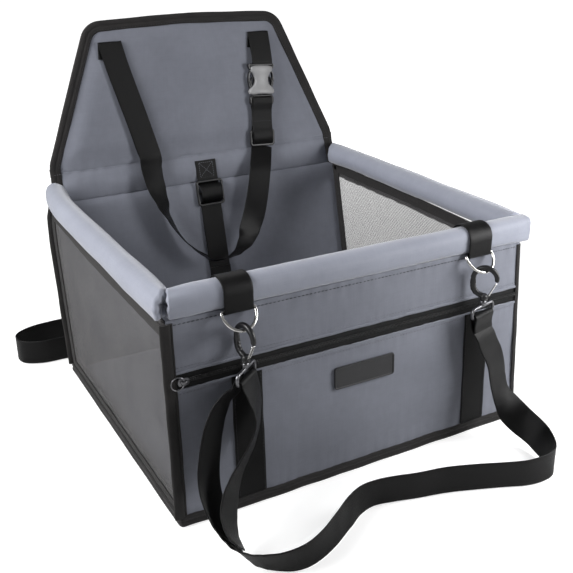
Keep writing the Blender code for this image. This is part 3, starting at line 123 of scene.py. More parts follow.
class Finish:
    """One material: its shader and the nodes that feed it."""

    def __init__(self, name, **fixed):
        self.material = bpy.data.materials.new(name)
        self.material.use_nodes = True
        tree = self.material.node_tree
        self.nodes, self.links = tree.nodes, tree.links
        self.shader = tree.nodes["Principled BSDF"]
        for key, value in fixed.items():
            self.shader.inputs[SOCKETS[key]].default_value = value

    def feed(self, socket, value):
        if isinstance(value, Wire):
            self.links.new(value.socket, socket)
        else:
            socket.default_value = value

    def node(self, kind, settings=None, inputs=(), output=0):
        """Any node: its type, its settings, then the values or links of its sockets."""
        made = self.nodes.new(kind)
        for key, value in (settings or {}).items():
            if key == "stops":
                while len(made.color_ramp.elements) < len(value):
                    made.color_ramp.elements.new(0.5)
                for element, (place, colour) in zip(made.color_ramp.elements, value):
                    element.position, element.color = place, (*colour, 1)
            else:
                setattr(made, key, value)
        pairs = inputs.items() if isinstance(inputs, dict) else enumerate(inputs)
        for socket, value in pairs:
            self.feed(made.inputs[socket], value)
        return Wire(self, made.outputs[output])

    def place(self, kind="UV"):
        return self.node("ShaderNodeTexCoord", output=kind)

    def parts(self, vector):
        split = self.node("ShaderNodeSeparateXYZ", inputs=(vector,))
        return [Wire(self, socket) for socket in split.socket.node.outputs]

    def cloud(self, scale, detail, stretch=(1, 1, 1), kind="Object"):
        """Cloudy values from 0 to 1 over the piece."""
        where = self.node("ShaderNodeMapping", inputs={"Vector": self.place(kind), "Scale": stretch})
        return self.node("ShaderNodeTexNoise", inputs={"Vector": where, "Scale": scale, "Detail": detail})

    def blend(self, first, second, share):
        colours = [(*c, 1) if isinstance(c, tuple) else c for c in (first, second)]
        return self.node("ShaderNodeMix", {"data_type": "RGBA"},
                         {0: share, 6: colours[0], 7: colours[1]}, output=2)

    def relief(self, height, depth, strength=1.0):
        bump = self.node("ShaderNodeBump", inputs={"Height": height, "Distance": depth,
                                                   "Strength": strength})
        self.feed(self.shader.inputs["Normal"], bump)

    def colour(self, value):
        self.feed(self.shader.inputs["Base Color"], value if isinstance(value, Wire) else (*value, 1))

    def roughness(self, value):
        self.feed(self.shader.inputs["Roughness"], value)


SOCKETS = {"rough": "Roughness", "metal": "Metallic", "gloss": "Specular IOR Level",
           "sheen": "Sheen Weight", "sheen_rough": "Sheen Roughness"}


def woven(name, pale, deep, pitch=0.0007, sheen=0.25, rough=0.72):
    """Smooth polyester cloth: a plain weave, slubs, and a faint uneven tone."""
    f = Finish(name, rough=rough, sheen=sheen, sheen_rough=0.45, gloss=0.35)
    u, v, _ = f.parts(f.place())
    pace = math.pi / pitch
    weave = (u * pace).sine() * (v * pace).sine()
    slub = f.cloud(900, 2, (1, 0.03, 1), "UV") + f.cloud(900, 2, (0.03, 1, 1), "UV")
    tone = f.cloud(14, 4) * 0.55 + f.cloud(120, 3) * 0.2 + slub * 0.14
    # The weave's hollows are painted a little darker than its crowns: painted shade. The rest of the tone is
    # random.
    f.colour(f.blend(deep, pale, (tone + weave * 0.05).ramp(0.25, 0.75)))
    f.roughness(f.cloud(40, 3) * 0.12 + (rough - 0.06))
    f.relief(weave * 0.5 + slub * 0.6 + f.cloud(260, 3) * 0.8, 0.00012, 0.6)
    return f.material


def ribbed(name, pale, deep, rib, across, depth, rough=0.6, sheen=0.2, gloss=0.4):
    """Webbing or tape: fine ribs one way and a finer pick the other."""
    f = Finish(name, rough=rough, sheen=sheen, sheen_rough=0.4, gloss=gloss)
    u, v, _ = f.parts(f.place())
    ribs = (v * (math.pi / rib)).sine().size()
    picks = (u * (math.pi / across)).sine().size()
    height = ribs * 0.6 + picks * 0.6
    wear = f.cloud(60, 4)
    # The hollows between ribs and picks are painted darker than their crowns: painted shade. The wear and the
    # yarn streaks are random tone.
    tone = (height * 0.3 + wear * 0.5 + f.cloud(700, 2, (1, 0.05, 1), "UV") * 0.3).ramp(0.25, 1.1)
    f.colour(f.blend(deep, pale, tone))
    f.roughness(wear * 0.2 + (rough - 0.1))
    f.relief(height + f.cloud(500, 3) * 0.5, depth, 0.7)
    return f.material


def moulded(name, pale, deep, rough, grain=0.00004):
    """Injection-moulded plastic: fine grain, rubbed patches and a little dust tone."""
    f = Finish(name, rough=rough, gloss=0.5)
    rubbed = f.cloud(90, 5)
    f.colour(f.blend(deep, pale, (rubbed * 0.8 + f.cloud(900, 2) * 0.3).ramp(0.3, 0.85)))
    f.roughness(rubbed * 0.25 + (rough - 0.12))
    f.relief(f.cloud(1600, 3) + f.cloud(200, 2) * 0.6, grain, 0.5)
    return f.material


def plated(name, pale, deep, rough):
    """Polished or blackened metal with hairlines."""
    f = Finish(name, metal=1.0, rough=rough)
    hair = f.cloud(2200, 2, (1, 0.08, 1))
    smear = f.cloud(120, 4)
    f.colour(f.blend(deep, pale, (smear * 0.7 + hair * 0.3).ramp(0.25, 0.7)))
    f.roughness(smear * 0.14 + hair * 0.08 + (rough - 0.06))
    f.relief(hair, 0.00001, 0.4)
    return f.material


def open_mesh(name, pale, deep, cell, open_share):
    """Knitted spacer mesh: threads round rows of staggered holes, which are see-through."""
    f = Finish(name, rough=0.7, sheen=0.2, sheen_rough=0.5, gloss=0.3)
    u, v, _ = f.parts(f.place())
    pace = math.pi / cell
    first = (u * pace).sine() * (v * pace).sine()
    hole = first.size()
    thread = hole.ramp(open_share, open_share + 0.16, 1.0, 0.0)
    tone = f.cloud(25, 4) * 0.6 + f.cloud(500, 2) * 0.5
    f.colour(f.blend(deep, pale, tone.ramp(0.3, 0.8)))
    f.feed(f.shader.inputs["Alpha"], thread.most(0.10))
    f.relief(1 - hole, 0.0003, 0.8)
    return f.material


SLATE = woven("slate_cloth", (0.185, 0.195, 0.232), (0.120, 0.127, 0.155))
# The slate cloth again, painted paler: painted light for the strong light on the rim sleeves' upward faces.
RIM_CLOTH_PAINTED_LIGHT = woven("rim_cloth_painted_light", (0.275, 0.290, 0.345), (0.195, 0.206, 0.252), sheen=0.35, rough=0.62)
DARK_CLOTH = woven("rear_cloth", (0.105, 0.110, 0.128), (0.066, 0.070, 0.083), pitch=0.0009)
WEBBING = ribbed("strap_webbing", (0.0068, 0.0066, 0.0068), (0.0015, 0.0015, 0.0017), 0.0009, 0.0007,
                 0.00016, rough=0.42, sheen=0.0, gloss=0.17)
EDGE_TAPE = ribbed("edge_tape", (0.040, 0.037, 0.037), (0.010, 0.010, 0.010), 0.0012, 0.0010,
                   0.00040, rough=0.8, sheen=0.10, gloss=0.15)
ZIP_CLOTH = ribbed("zip_cloth", (0.011, 0.011, 0.012), (0.005, 0.005, 0.005), 0.0008, 0.0006,
                   0.00015, rough=0.7, sheen=0.03, gloss=0.2)
ZIP_COIL = moulded("zip_coil", (0.012, 0.012, 0.013), (0.006, 0.006, 0.006), 0.38)
SLATE_THREAD = ribbed("slate_thread", (0.150, 0.158, 0.185), (0.080, 0.085, 0.100), 0.0004, 0.0004,
                      0.0001)
DARK_THREAD = ribbed("dark_thread", (0.030, 0.031, 0.036), (0.012, 0.012, 0.014), 0.0004, 0.0004,
                     0.0001)
SIDE_MESH = open_mesh("side_mesh", (0.120, 0.116, 0.118), (0.060, 0.058, 0.060), 0.0018, 0.14)
BLACK_PLASTIC = moulded("black_acetal", (0.009, 0.009, 0.010), (0.004, 0.004, 0.005), 0.42)
GREY_PLASTIC = moulded("grey_acetal", (0.275, 0.275, 0.280), (0.205, 0.205, 0.210), 0.45)
WHITE_PLASTIC = moulded("tube_plastic", (0.72, 0.72, 0.70), (0.58, 0.58, 0.56), 0.4)
NICKEL = plated("nickel_plate", (0.80, 0.79, 0.77), (0.55, 0.54, 0.53), 0.14)
GUNMETAL = plated("gunmetal_plate", (0.23, 0.23, 0.24), (0.11, 0.11, 0.12), 0.32)
RUBBER = moulded("patch_rubber", (0.026, 0.026, 0.028), (0.014, 0.014, 0.015), 0.6, 0.00008)
BOARD = moulded("stiff_board", (0.50, 0.49, 0.46), (0.36, 0.35, 0.33), 0.75, 0.0002)


# Mesh making

def finish_piece(obj, body, material, nodes=()):
    """Give a piece its material slot and hide the nodes that it stands for; on one body it is attached to
    that body, and between two it is only baked in place.
    """
    obj.data.materials.append(material)
    if isinstance(body, str):
        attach(obj, body)
    else:
        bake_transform(obj)
    if nodes:
        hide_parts(*nodes)


def solid(name, points, faces, uvs=None, smooth=True, sharp=50):
    """A mesh object from points and faces, its normals outwards, with cloth coordinates."""
    mesh = bpy.data.meshes.new(name)
    mesh.from_pydata(np.asarray(points).reshape(-1, 3).tolist(), [], faces)
    if uvs is not None:
        layer = mesh.uv_layers.new(name="cloth")
        layer.data.foreach_set("uv", np.asarray(uvs, np.float32).ravel())
    bm = bmesh.new()
    bm.from_mesh(mesh)
    bmesh.ops.recalc_face_normals(bm, faces=bm.faces)
    bm.to_mesh(mesh)
    bm.free()
    if smooth:
        mesh.shade_smooth()
        mesh.set_sharp_from_angle(angle=math.radians(sharp))
    obj = bpy.data.objects.new(name, mesh)
    bpy.context.scene.collection.objects.link(obj)
    return obj


def loft_parts(rings, closed_path=False):
    """Faces and cloth coordinates of closed rings joined along a path."""
    rings = np.asarray(rings, float)
    n, m = rings.shape[:2]
    rows = n if closed_path else n - 1
    around = np.linalg.norm(np.roll(rings, -1, 1) - rings, axis=2).mean(0)
    u = np.concatenate([[0], np.cumsum(around)])
    step = np.linalg.norm(np.roll(rings, -1, 0) - rings, axis=2).mean(1)
    v = np.concatenate([[0], np.cumsum(step)])
    i, j = np.meshgrid(np.arange(rows), np.arange(m), indexing="ij")
    i, j = i.ravel(), j.ravel()
    i2, j2 = (i + 1) % n, (j + 1) % m
    quads = np.stack([i * m + j, i * m + j2, i2 * m + j2, i2 * m + j], 1)
    uv = np.stack([np.stack([u[j], v[i]], 1), np.stack([u[j + 1], v[i]], 1),
                   np.stack([u[j + 1], v[i + 1]], 1), np.stack([u[j], v[i + 1]], 1)], 1)
    faces = quads.tolist()
    uvs = uv.reshape(-1, 2).tolist()
    if not closed_path:
        for start in (0, (n - 1) * m):
            faces.append([start + k for k in range(m)])
            uvs += [[u[k], v[0 if start == 0 else n - 1]] for k in range(m)]
    return rings.reshape(-1, 3), faces, uvs


def joined(pieces):
    """Several (points, faces, uvs) as one."""
    points, faces, uvs, base = [], [], [], 0
    for p, f, t in pieces:
        points.append(np.asarray(p).reshape(-1, 3))
        faces += [[k + base for k in face] for face in f]
        uvs += list(t)
        base += len(points[-1])
    return np.concatenate(points), faces, uvs


def loft(name, rings, closed_path=False):
    """A piece from closed rings joined along a path."""
    return solid(name, *loft_parts(rings, closed_path))


def unit(vectors):
    """The vectors at length 1."""
    vectors = np.asarray(vectors, float)
    return vectors / np.maximum(np.linalg.norm(vectors, axis=-1, keepdims=True), 1e-12)


def gone_along(path):
    """The distance gone at each point of a path."""
    return np.concatenate([[0], np.cumsum(np.linalg.norm(np.diff(path, axis=0), axis=1))])


def at_places(places, gone, path):
    """Points of a path at distances along it."""
    return np.stack([np.interp(places, gone, column) for column in np.asarray(path).T], -1)


def sweep(points, section, normal, closed=False):
    """Rings of a section, given as (outwards, along the normal), carried along points."""
    points = np.asarray(points, float)
    if closed:
        along = np.roll(points, -1, 0) - np.roll(points, 1, 0)
    else:
        along = np.gradient(points, axis=0)
    along = unit(along)
    normal = np.broadcast_to(np.asarray(normal, float), points.shape)
    normal = unit(normal - along * (along * normal).sum(1, keepdims=True))
    out = np.cross(along, normal)
    section = np.asarray(section, float)
    if section.ndim == 2:
        section = np.broadcast_to(section, (len(points), *section.shape))
    return points[:, None] + out[:, None] * section[..., :1] + normal[:, None] * section[..., 1:]


def turns_of(count, shift=0.0):
    """Even angles round a circle."""
    return 2 * math.pi * (np.arange(count) + shift) / count


def round_section(radius, sides):
    """A round section: cords, wires and tubes."""
    angles = turns_of(sides, 0.5)
    return np.stack([radius * np.cos(angles), radius * np.sin(angles)], 1)


def pillow_section(width, thick, power=0.5, sides=20):
    """A flattened round section: bars, tapes and bindings."""
    angles = turns_of(sides, 0.5)
    c, s = np.cos(angles), np.sin(angles)
    return np.stack([np.sign(c) * np.abs(c) ** power * width / 2,
                     np.sign(s) * np.abs(s) ** power * thick / 2], 1)


def between(a, b, low, high, at):
    """The value at a place, on the straight line from a at low to b at high."""
    return a + (b - a) * ((at - low) / (high - low))


def smooth_curve(points, per_span):
    """Points of a centripetal curve through the given points, as in the part."""
    pts = [np.asarray(p, float) for p in points]
    pts = [2 * pts[0] - pts[1]] + pts + [2 * pts[-1] - pts[-2]]
    knots = [0.0]
    for a, b in zip(pts, pts[1:]):
        knots.append(knots[-1] + math.sqrt(np.linalg.norm(b - a)))
    curve = []
    for i in range(1, len(pts) - 2):
        p0, p1, p2, p3 = pts[i - 1:i + 3]
        t0, t1, t2, t3 = knots[i - 1:i + 3]
        for k in range(per_span):
            t = t1 + (t2 - t1) * k / per_span
            a1, a2, a3 = between(p0, p1, t0, t1, t), between(p1, p2, t1, t2, t), between(p2, p3, t2, t3, t)
            b1, b2 = between(a1, a2, t0, t2, t), between(a2, a3, t1, t3, t)
            curve.append(between(b1, b2, t1, t2, t))
    curve.append(pts[-2])
    return np.array(curve)


def eased(sides, per_span):
    """One side for each point of a smooth curve, each change eased in and out."""
    result = []
    for a, b in zip(sides, sides[1:]):
        for k in range(per_span):
            share = k / per_span
            share = share * share * (3 - 2 * share)
            result.append(np.asarray(a, float) * (1 - share) + np.asarray(b, float) * share)
    result.append(np.asarray(sides[-1], float))
    return np.array(result)


# Half of a webbing's section: share of its half width, and of its half thickness
WEB_EDGE_SHARES = ((1.0, 0.0), (0.992, 0.5), (0.965, 0.85), (0.9, 1.0), (0.7, 0.96), (0.45, 0.9),
                   (0.2, 0.88), (0.0, 0.87))


def web_section(width, thick):
    """A webbing's section: rounded selvages, a little thicker than the middle."""
    right = list(WEB_EDGE_SHARES)
    top = right + [(-x, y) for x, y in reversed(right[:-1])]
    ring = top + [(x, -y) for x, y in reversed(top[1:-1])]
    return np.array([(x * width / 2, y * thick / 2) for x, y in ring])


def web_rings(curve, across, width, thick, curl=0.0):
    """Rings of webbing along a curve; across says which way its width lies."""
    curve = np.asarray(curve)
    across = np.broadcast_to(np.asarray(across, float), curve.shape)
    along = unit(np.gradient(curve, axis=0))
    side = unit(across - along * (along * across).sum(1, keepdims=True))
    up = np.cross(along, side)
    section = web_section(width, thick)
    bow = curl * (1 - (2 * section[:, 0] / width) ** 2)
    return (curve[:, None] + side[:, None] * section[None, :, :1]
            + up[:, None] * (section[None, :, 1:] + bow[None, :, None]))


def swell(x, y, size, seed):
    """Smooth uneven relief, mostly between -1 and 1, with hollows about a size apart."""
    dice = np.random.default_rng(seed)
    total = 0
    for _ in range(7):
        turn, start = dice.uniform(0, 2 * math.pi, 2)
        pace = 2 * math.pi / size * dice.uniform(0.6, 1.5)
        total = total + np.sin((x * math.cos(turn) + y * math.sin(turn)) * pace + start)
    return total / 2.6


def pucker(along, away, pitch, reach, seed):
    """Little folds that run away from a seam and die out."""
    shift = swell(along, along * 0, pitch * 5, seed)
    return np.sin(2 * math.pi * along / pitch + 2.5 * shift) * np.exp(-np.abs(away) / reach)


class Plane:
    """A flat place with a right, an up and an outward direction."""

    def __init__(self, origin, up, out):
        self.origin, self.up, self.out = (np.asarray(v, float) for v in (origin, up, out))
        self.right = np.cross(self.up, self.out)

    def at(self, x, h, off=0.0):
        x, h, off = np.broadcast_arrays(np.asarray(x, float), h, off)
        return (self.origin + x[..., None] * self.right + h[..., None] * self.up
                + off[..., None] * self.out)

    def turned(self, x, h, off, angle):
        """The same plane with its origin moved, turned about its outward direction."""
        c, s = math.cos(angle), math.sin(angle)
        return Plane(self.at(x, h, off), self.up * c - self.right * s, self.out)


def leaning(origin, angle):
    """An upright plane that faces the front and leans back by an angle."""
    return Plane(origin, (0, math.sin(angle), math.cos(angle)), (0, -math.cos(angle), math.sin(angle)))


front = leaning((0, FRONT_FOOT_Y, 0), math.atan(FRONT_SLOPE))
back = leaning((0, RIM_BACK - BACK_SLOPE * RIM_HEIGHT, 0), math.atan(BACK_SLOPE))
flap = leaning(HINGE, FLAP_LEAN)
BACK_SLANT = 1 / math.cos(math.atan(BACK_SLOPE))


def shell(name, outer, inner):
    """A closed sheet between two grids of points of the same shape."""
    outer, inner = np.asarray(outer), np.asarray(inner)
    n, m = outer.shape[:2]
    step_u = np.linalg.norm(np.diff(outer, axis=1), axis=2).mean(0)
    step_v = np.linalg.norm(np.diff(outer, axis=0), axis=2).mean(1)
    u = np.concatenate([[0], np.cumsum(step_u)])
    v = np.concatenate([[0], np.cumsum(step_v)])
    i, j = (g.ravel() for g in np.meshgrid(np.arange(n - 1), np.arange(m - 1), indexing="ij"))
    quads, uvs = [], []
    for base in (0, n * m):
        quads.append(base + np.stack([i * m + j, i * m + j + 1, (i + 1) * m + j + 1, (i + 1) * m + j], 1))
        uvs.append(np.stack([np.stack([u[j], v[i]], 1), np.stack([u[j + 1], v[i]], 1),
                             np.stack([u[j + 1], v[i + 1]], 1), np.stack([u[j], v[i + 1]], 1)], 1))
    edge = [(0, k) for k in range(m)] + [(k, m - 1) for k in range(1, n)]
    edge += [(n - 1, k) for k in range(m - 2, -1, -1)] + [(k, 0) for k in range(n - 2, 0, -1)]
    ring = np.array([a * m + b for a, b in edge])
    place = np.array([(u[b], v[a]) for a, b in edge])
    after, place_after = np.roll(ring, -1), np.roll(place, -1, 0)
    quads.append(np.stack([ring, after, after + n * m, ring + n * m], 1))
    uvs.append(np.stack([place, place_after, place_after, place], 1))
    points = np.concatenate([outer.reshape(-1, 3), inner.reshape(-1, 3)])
    return solid(name, points, np.concatenate(quads).tolist(), np.concatenate(uvs).reshape(-1, 2), sharp=60)


def edge_spread(low, high, count):
    """Places from low to high, close together at both ends so that an edge can turn over."""
    inner = np.linspace(low + EDGE_ROLL, high - EDGE_ROLL, count)
    turn = EDGE_ROLL * (1 - np.cos(np.linspace(0, math.pi / 2, 4)))
    return np.concatenate([low + turn[:-1], inner, high - turn[:-1][::-1]])


def rolled(values, low, high):
    """1 inside, falling to 0 at both ends like a rounded edge."""
    near = np.clip(np.minimum(values - low, high - values) / EDGE_ROLL, 0, 1)
    return np.sqrt(np.clip(1 - (1 - near) ** 2, 0, 1))


def cloth_panel(name, plane, x_low, x_high, h_low, h_high, body, material, nodes=(),
                thick=CLOTH, lift=0.0, relief=None, cell=0.004):
    """A rectangle of cloth on a plane, its outer face at lift, with rolled edges and relief."""
    xs = edge_spread(x_low, x_high, max(4, int((x_high - x_low) / cell)))
    hs = edge_spread(h_low, h_high, max(3, int((h_high - h_low) / cell)))
    x, h = np.meshgrid(xs, hs)
    edge = rolled(x, x_low, x_high) * rolled(h, h_low, h_high)
    rise = relief(x, h) if relief else 0.0
    middle = lift - thick / 2
    outer = plane.at(x, h, middle + edge * thick / 2 + rise)
    inner = plane.at(x, h, middle - edge * thick / 2 + rise * 0.6)
    finish_piece(shell(name, outer, inner), body, material, nodes)


def assembly(name, parts, body, material, nodes=(), sharp=45):
    """Several closed forms made into one piece."""
    finish_piece(solid(name, *joined(parts), sharp=sharp), body, material, nodes)


def stitch_row(points, normals, pitch=0.0034, length=0.0024, radius=0.00032):
    """Stitches along a seam, each a small spindle that lies on the cloth."""
    points = np.asarray(points, float)
    normals = np.broadcast_to(np.asarray(normals, float), points.shape)
    gone = gone_along(points)
    count = max(1, int(gone[-1] / pitch))
    middles = (np.arange(count) + 0.5) * gone[-1] / count
    pieces = []
    shares = np.array([(-0.5, 0.2), (-0.36, 0.8), (0, 1.0), (0.36, 0.8), (0.5, 0.2)])
    angles = turns_of(6)
    for place in middles:
        mid = at_places(place, gone, points)
        ahead = at_places(min(place + length, gone[-1]), gone, points)
        before = at_places(max(place - length, 0), gone, points)
        along = unit(ahead - before)
        normal = unit(at_places(place, gone, normals))
        side = np.cross(along, normal)
        rings = []
        for share, width in shares:
            ring = mid + along * share * length + normal * (radius * 0.35 - abs(share) * radius * 0.8)
            rings.append(ring + radius * width * (np.cos(angles)[:, None] * side
                                                  + 0.8 * np.sin(angles)[:, None] * normal))
        pieces.append(loft_parts(rings))
    return joined(pieces)


def stitching(name, rows, body, material):
    """All the rows of one thread on one body."""
    assembly(name, [stitch_row(*row[:2], **row[2]) for row in rows], body, material, sharp=50)


def seam_on(plane, x_a, h_a, x_b, h_b, off, **sizes):
    """A straight row of stitches on a plane."""
    share = np.linspace(0, 1, 24)
    points = plane.at(x_a + (x_b - x_a) * share, h_a + (h_b - h_a) * share, off)
    return points, plane.out, sizes


def arc(centre, radius, start_deg, end_deg, steps):
    """Points of an arc, between two angles in degrees."""
    turn = np.radians(np.linspace(start_deg, end_deg, steps + 1))
    return [(centre[0] + radius * math.cos(t), centre[1] + radius * math.sin(t)) for t in turn]


def rounded_outline(width, height, radius, steps=6, centre=(0, 0)):
    """A rectangle with round corners."""
    x, y = centre
    w, h = width / 2 - radius, height / 2 - radius
    points = []
    for sx, sy, start in ((1, 1, 0), (-1, 1, 90), (-1, -1, 180), (1, -1, 270)):
        points += arc((x + sx * w, y + sy * h), radius, start, start + 90, steps)
    return np.array(points)


def rounded_corners(corners, radii, steps=6):
    """An outline whose corners are rounded, each by its own radius."""
    points = []
    count = len(corners)
    for i, (corner, radius) in enumerate(zip(corners, radii)):
        here = Vector(corner)
        if radius == 0:
            points.append(tuple(here))
            continue
        behind = (Vector(corners[i - 1]) - here).normalized()
        ahead = (Vector(corners[(i + 1) % count]) - here).normalized()
        half = behind.angle(ahead) / 2
        reach = radius / math.tan(half)
        start, end = here + behind * reach, here + ahead * reach
        centre = here + (behind + ahead).normalized() * radius / math.sin(half)
        a, b = start - centre, end - centre
        turn = a.angle_signed(b)
        for k in range(steps + 1):
            points.append(tuple(centre + Matrix.Rotation(-turn * k / steps, 2) @ a))
    return np.array(points)


def even_ring(outline, step):
    """A closed outline with points no further apart than a step."""
    path = []
    for a, b in zip(outline, np.roll(outline, -1, 0)):
        count = max(1, int(np.linalg.norm(b - a) / step))
        path += [a + (b - a) * k / count for k in range(count)]
    return np.array(path)


def inset(outline, amount):
    """An outline drawn in by an amount, along its own normals."""
    outline = np.asarray(outline, float)
    ahead = unit(np.roll(outline, -1, 0) - outline)
    behind = unit(outline - np.roll(outline, 1, 0))
    along = unit(ahead + behind)
    area = np.sum(outline[:, 0] * np.roll(outline[:, 1], -1) - np.roll(outline[:, 0], -1) * outline[:, 1])
    normal = np.stack([-along[:, 1], along[:, 0]], 1) * np.sign(area)
    return outline + normal * amount


def stack(plane, outline, levels):
    """Rings of one outline at levels, each (inset, height off the plane)."""
    return loft_parts([plane.at(*inset(outline, draw).T, height) for draw, height in levels])


def plate_levels(low, high, edge):
    """Levels of a plate with rounded edges."""
    return [(edge, low), (edge * 0.3, low + edge * 0.3), (0, low + edge), (0, high - edge),
            (edge * 0.3, high - edge * 0.3), (edge, high)]


# Camera, lights and floor

def set_camera():
    """The camera fitted to the corners of the box in the photograph."""
    camera = bpy.data.objects.new("camera", bpy.data.cameras.new("camera"))
    bpy.context.scene.collection.objects.link(camera)
    camera.location = (-0.429, -0.7966, 0.5195)
    camera.rotation_euler = (1.1696, 0.0075, -0.5045)
    camera.data.lens = 54.33
    bpy.context.scene.camera = camera


def soft_light(name, place, aim, width, height, power):
    """A soft lamp, not seen itself, that points at a place."""
    light = bpy.data.lights.new(name, "AREA")
    light.shape, light.size, light.size_y, light.energy = "RECTANGLE", width, height, power
    obj = bpy.data.objects.new(name, light)
    bpy.context.scene.collection.objects.link(obj)
    obj.location = place
    obj.rotation_euler = (Vector(aim) - Vector(place)).to_track_quat("-Z", "Y").to_euler()
    obj.visible_camera = False


def set_stage():
    """A white floor that keeps the shadow, a white surround, and soft studio lamps."""
    scene = bpy.context.scene
    scene.view_settings.view_transform = "Standard"
    world = bpy.data.worlds.new("studio")
    scene.world = world
    world.use_nodes = True
    nodes, links = world.node_tree.nodes, world.node_tree.links
    path = nodes.new("ShaderNodeLightPath")
    strength = nodes.new("ShaderNodeMapRange")
    links.new(path.outputs["Is Camera Ray"], strength.inputs[0])
    strength.inputs[3].default_value = WORLD_LIGHT
    strength.inputs[4].default_value = 1.0
    links.new(strength.outputs[0], nodes["Background"].inputs["Strength"])
    nodes["Background"].inputs["Color"].default_value = (1, 1, 1, 1)
    floor = solid("floor", [(-6, -6, 0), (6, -6, 0), (6, 6, 0), (-6, 6, 0)], [[0, 1, 2, 3]], smooth=False)
    f = Finish("floor_white", rough=0.9, gloss=0.0)
    f.colour((0.62, 0.62, 0.62))
    seen = f.node("ShaderNodeLightPath", output="Is Camera Ray")
    x, y, _ = f.parts(f.place("Object"))
    away = (x * x + y * y).maths("SQRT")
    glow = f.node("ShaderNodeEmission", inputs={"Color": (1, 1, 1, 1),
                                                "Strength": away.ramp(0.45, 1.1, FLOOR_GLOW, 1.0)})
    added = f.node("ShaderNodeAddShader", inputs=(Wire(f, f.shader.outputs[0]), glow))
    mixed = f.node("ShaderNodeMixShader", inputs=(seen, Wire(f, f.shader.outputs[0]), added))
    f.feed(f.nodes["Material Output"].inputs["Surface"], mixed)
    floor.data.materials.append(f.material)
    for lamp in LAMPS:
        soft_light(*lamp)


WORLD_LIGHT = 0.20
FLOOR_GLOW = 0.55
LAMPS = (
    ("top_left_lamp", (-1.05, 0.0, 0.85), (0, 0, 0.2), 0.7, 0.7, 21),
    ("right_lamp", (0.45, -0.42, 0.34), (0.16, -0.16, 0.14), 0.25, 0.25, 3.9),
    ("rear_lamp", (0.3, 1.4, 1.6), (0, 0.1, 0.2), 1.2, 0.8, 10),
)


# Cords: carry strap, rear strap

CARRY_WIDTH, CARRY_THICKNESS = 0.031, 0.0016
# Middle of the carry strap and the way its width points, from the right hook along the floor to the left
CARRY = np.array((
    (0.1522, -0.1985, 0.0735, 0.94, 0.28, -0.12), (0.1522, -0.2030, 0.0618, 0.94, 0.25, -0.18),
    (0.1545, -0.2088, 0.0503, 0.97, 0.10, -0.10), (0.1603, -0.2140, 0.0390, 0.96, -0.18, 0.16),
    (0.1685, -0.2210, 0.0280, 0.75, -0.42, 0.45), (0.1742, -0.2393, 0.0195, 0.40, -0.50, 0.75),
    (0.1702, -0.2589, 0.0170, 0.21, -0.36, 0.91), (0.1648, -0.2734, 0.0165, 0.03, -0.20, 0.98),
    (0.1590, -0.2823, 0.0165, -0.08, -0.06, 0.99), (0.1504, -0.2868, 0.0165, -0.15, 0.0, 0.99),
    (0.1370, -0.2882, 0.0165, -0.15, 0.02, 0.99), (0.1196, -0.2860, 0.0165, -0.15, 0, 0.99),
    (0.0978, -0.2775, 0.0165, -0.14, -0.02, 0.99), (0.0710, -0.2664, 0.0165, -0.10, 0, 0.99),
    (0.0422, -0.2560, 0.0165, -0.08, 0, 1.0), (0.0131, -0.2495, 0.0165, -0.08, -0.03, 1.0),
    (-0.0096, -0.2430, 0.0165, -0.07, -0.03, 1.0), (-0.0290, -0.2392, 0.0165, -0.06, -0.05, 0.99),
    (-0.0469, -0.2417, 0.0165, 0.03, 0.08, 1.0), (-0.0665, -0.2520, 0.0165, 0.15, 0.27, 0.94),
    (-0.0887, -0.2660, 0.0165, 0.11, 0.20, 0.97), (-0.1091, -0.2770, 0.0165, 0, 0.02, 1.0),
    (-0.1281, -0.2832, 0.0165, -0.08, -0.12, 0.99), (-0.1426, -0.2832, 0.0165, -0.12, -0.22, 0.97),
    (-0.1545, -0.2790, 0.0160, -0.17, -0.34, 0.92), (-0.1646, -0.2719, 0.0150, -0.20, -0.43, 0.88),
))
# The strap's left end in the same terms: its rise from the floor to the eye, and its fall from there
LEFT_RISE = np.array((
    (-0.1718, -0.2640, 0.0143, -0.25, -0.52, 0.81), (-0.1768, -0.2550, 0.0152, -0.36, -0.62, 0.70),
    (-0.1805, -0.2455, 0.0195, -0.54, -0.64, 0.55), (-0.1826, -0.2355, 0.0264, -0.68, -0.58, 0.45),
    (-0.1842, -0.2265, 0.0348, -0.78, -0.49, 0.38), (-0.1854, -0.2180, 0.0444, -0.82, -0.42, 0.37),
    (-0.1855, -0.2100, 0.0550, -0.84, -0.37, 0.40), (-0.1836, -0.2030, 0.0684, -0.84, -0.36, 0.42),
    (-0.1791, -0.1970, 0.0846, -0.81, -0.38, 0.42), (-0.1733, -0.1925, 0.1030, -0.77, -0.42, 0.42),
    (-0.1661, -0.1895, 0.1190, -0.72, -0.48, 0.42), (-0.1575, -0.1875, 0.1290, -0.70, -0.54, 0.38),
    (-0.1470, -0.1855, 0.1352, -0.72, -0.58, 0.25),
))
LEFT_FALL = np.array((
    (-0.1300, -0.1887, 0.1300, -0.72, -0.66, 0.08), (-0.1280, -0.1905, 0.1165, -0.62, -0.74, 0.16),
    (-0.1282, -0.1925, 0.1045, -0.54, -0.78, 0.26), (-0.1318, -0.1955, 0.0936, -0.50, -0.74, 0.40),
    (-0.1400, -0.2003, 0.0816, -0.50, -0.68, 0.52), (-0.1525, -0.2060, 0.0692, -0.55, -0.64, 0.54),
    (-0.1634, -0.2125, 0.0580, -0.64, -0.55, 0.54), (-0.1712, -0.2195, 0.0475, -0.70, -0.44, 0.55),
    (-0.1762, -0.2265, 0.0385, -0.70, -0.40, 0.58), (-0.1785, -0.2340, 0.0306, -0.65, -0.46, 0.58),
    (-0.1788, -0.2420, 0.0236, -0.56, -0.56, 0.58), (-0.1764, -0.2505, 0.0190, -0.42, -0.62, 0.64),
))
REAR_WIDTH, REAR_THICKNESS = 0.031, 0.0016
REAR_SEWN_X = -0.105
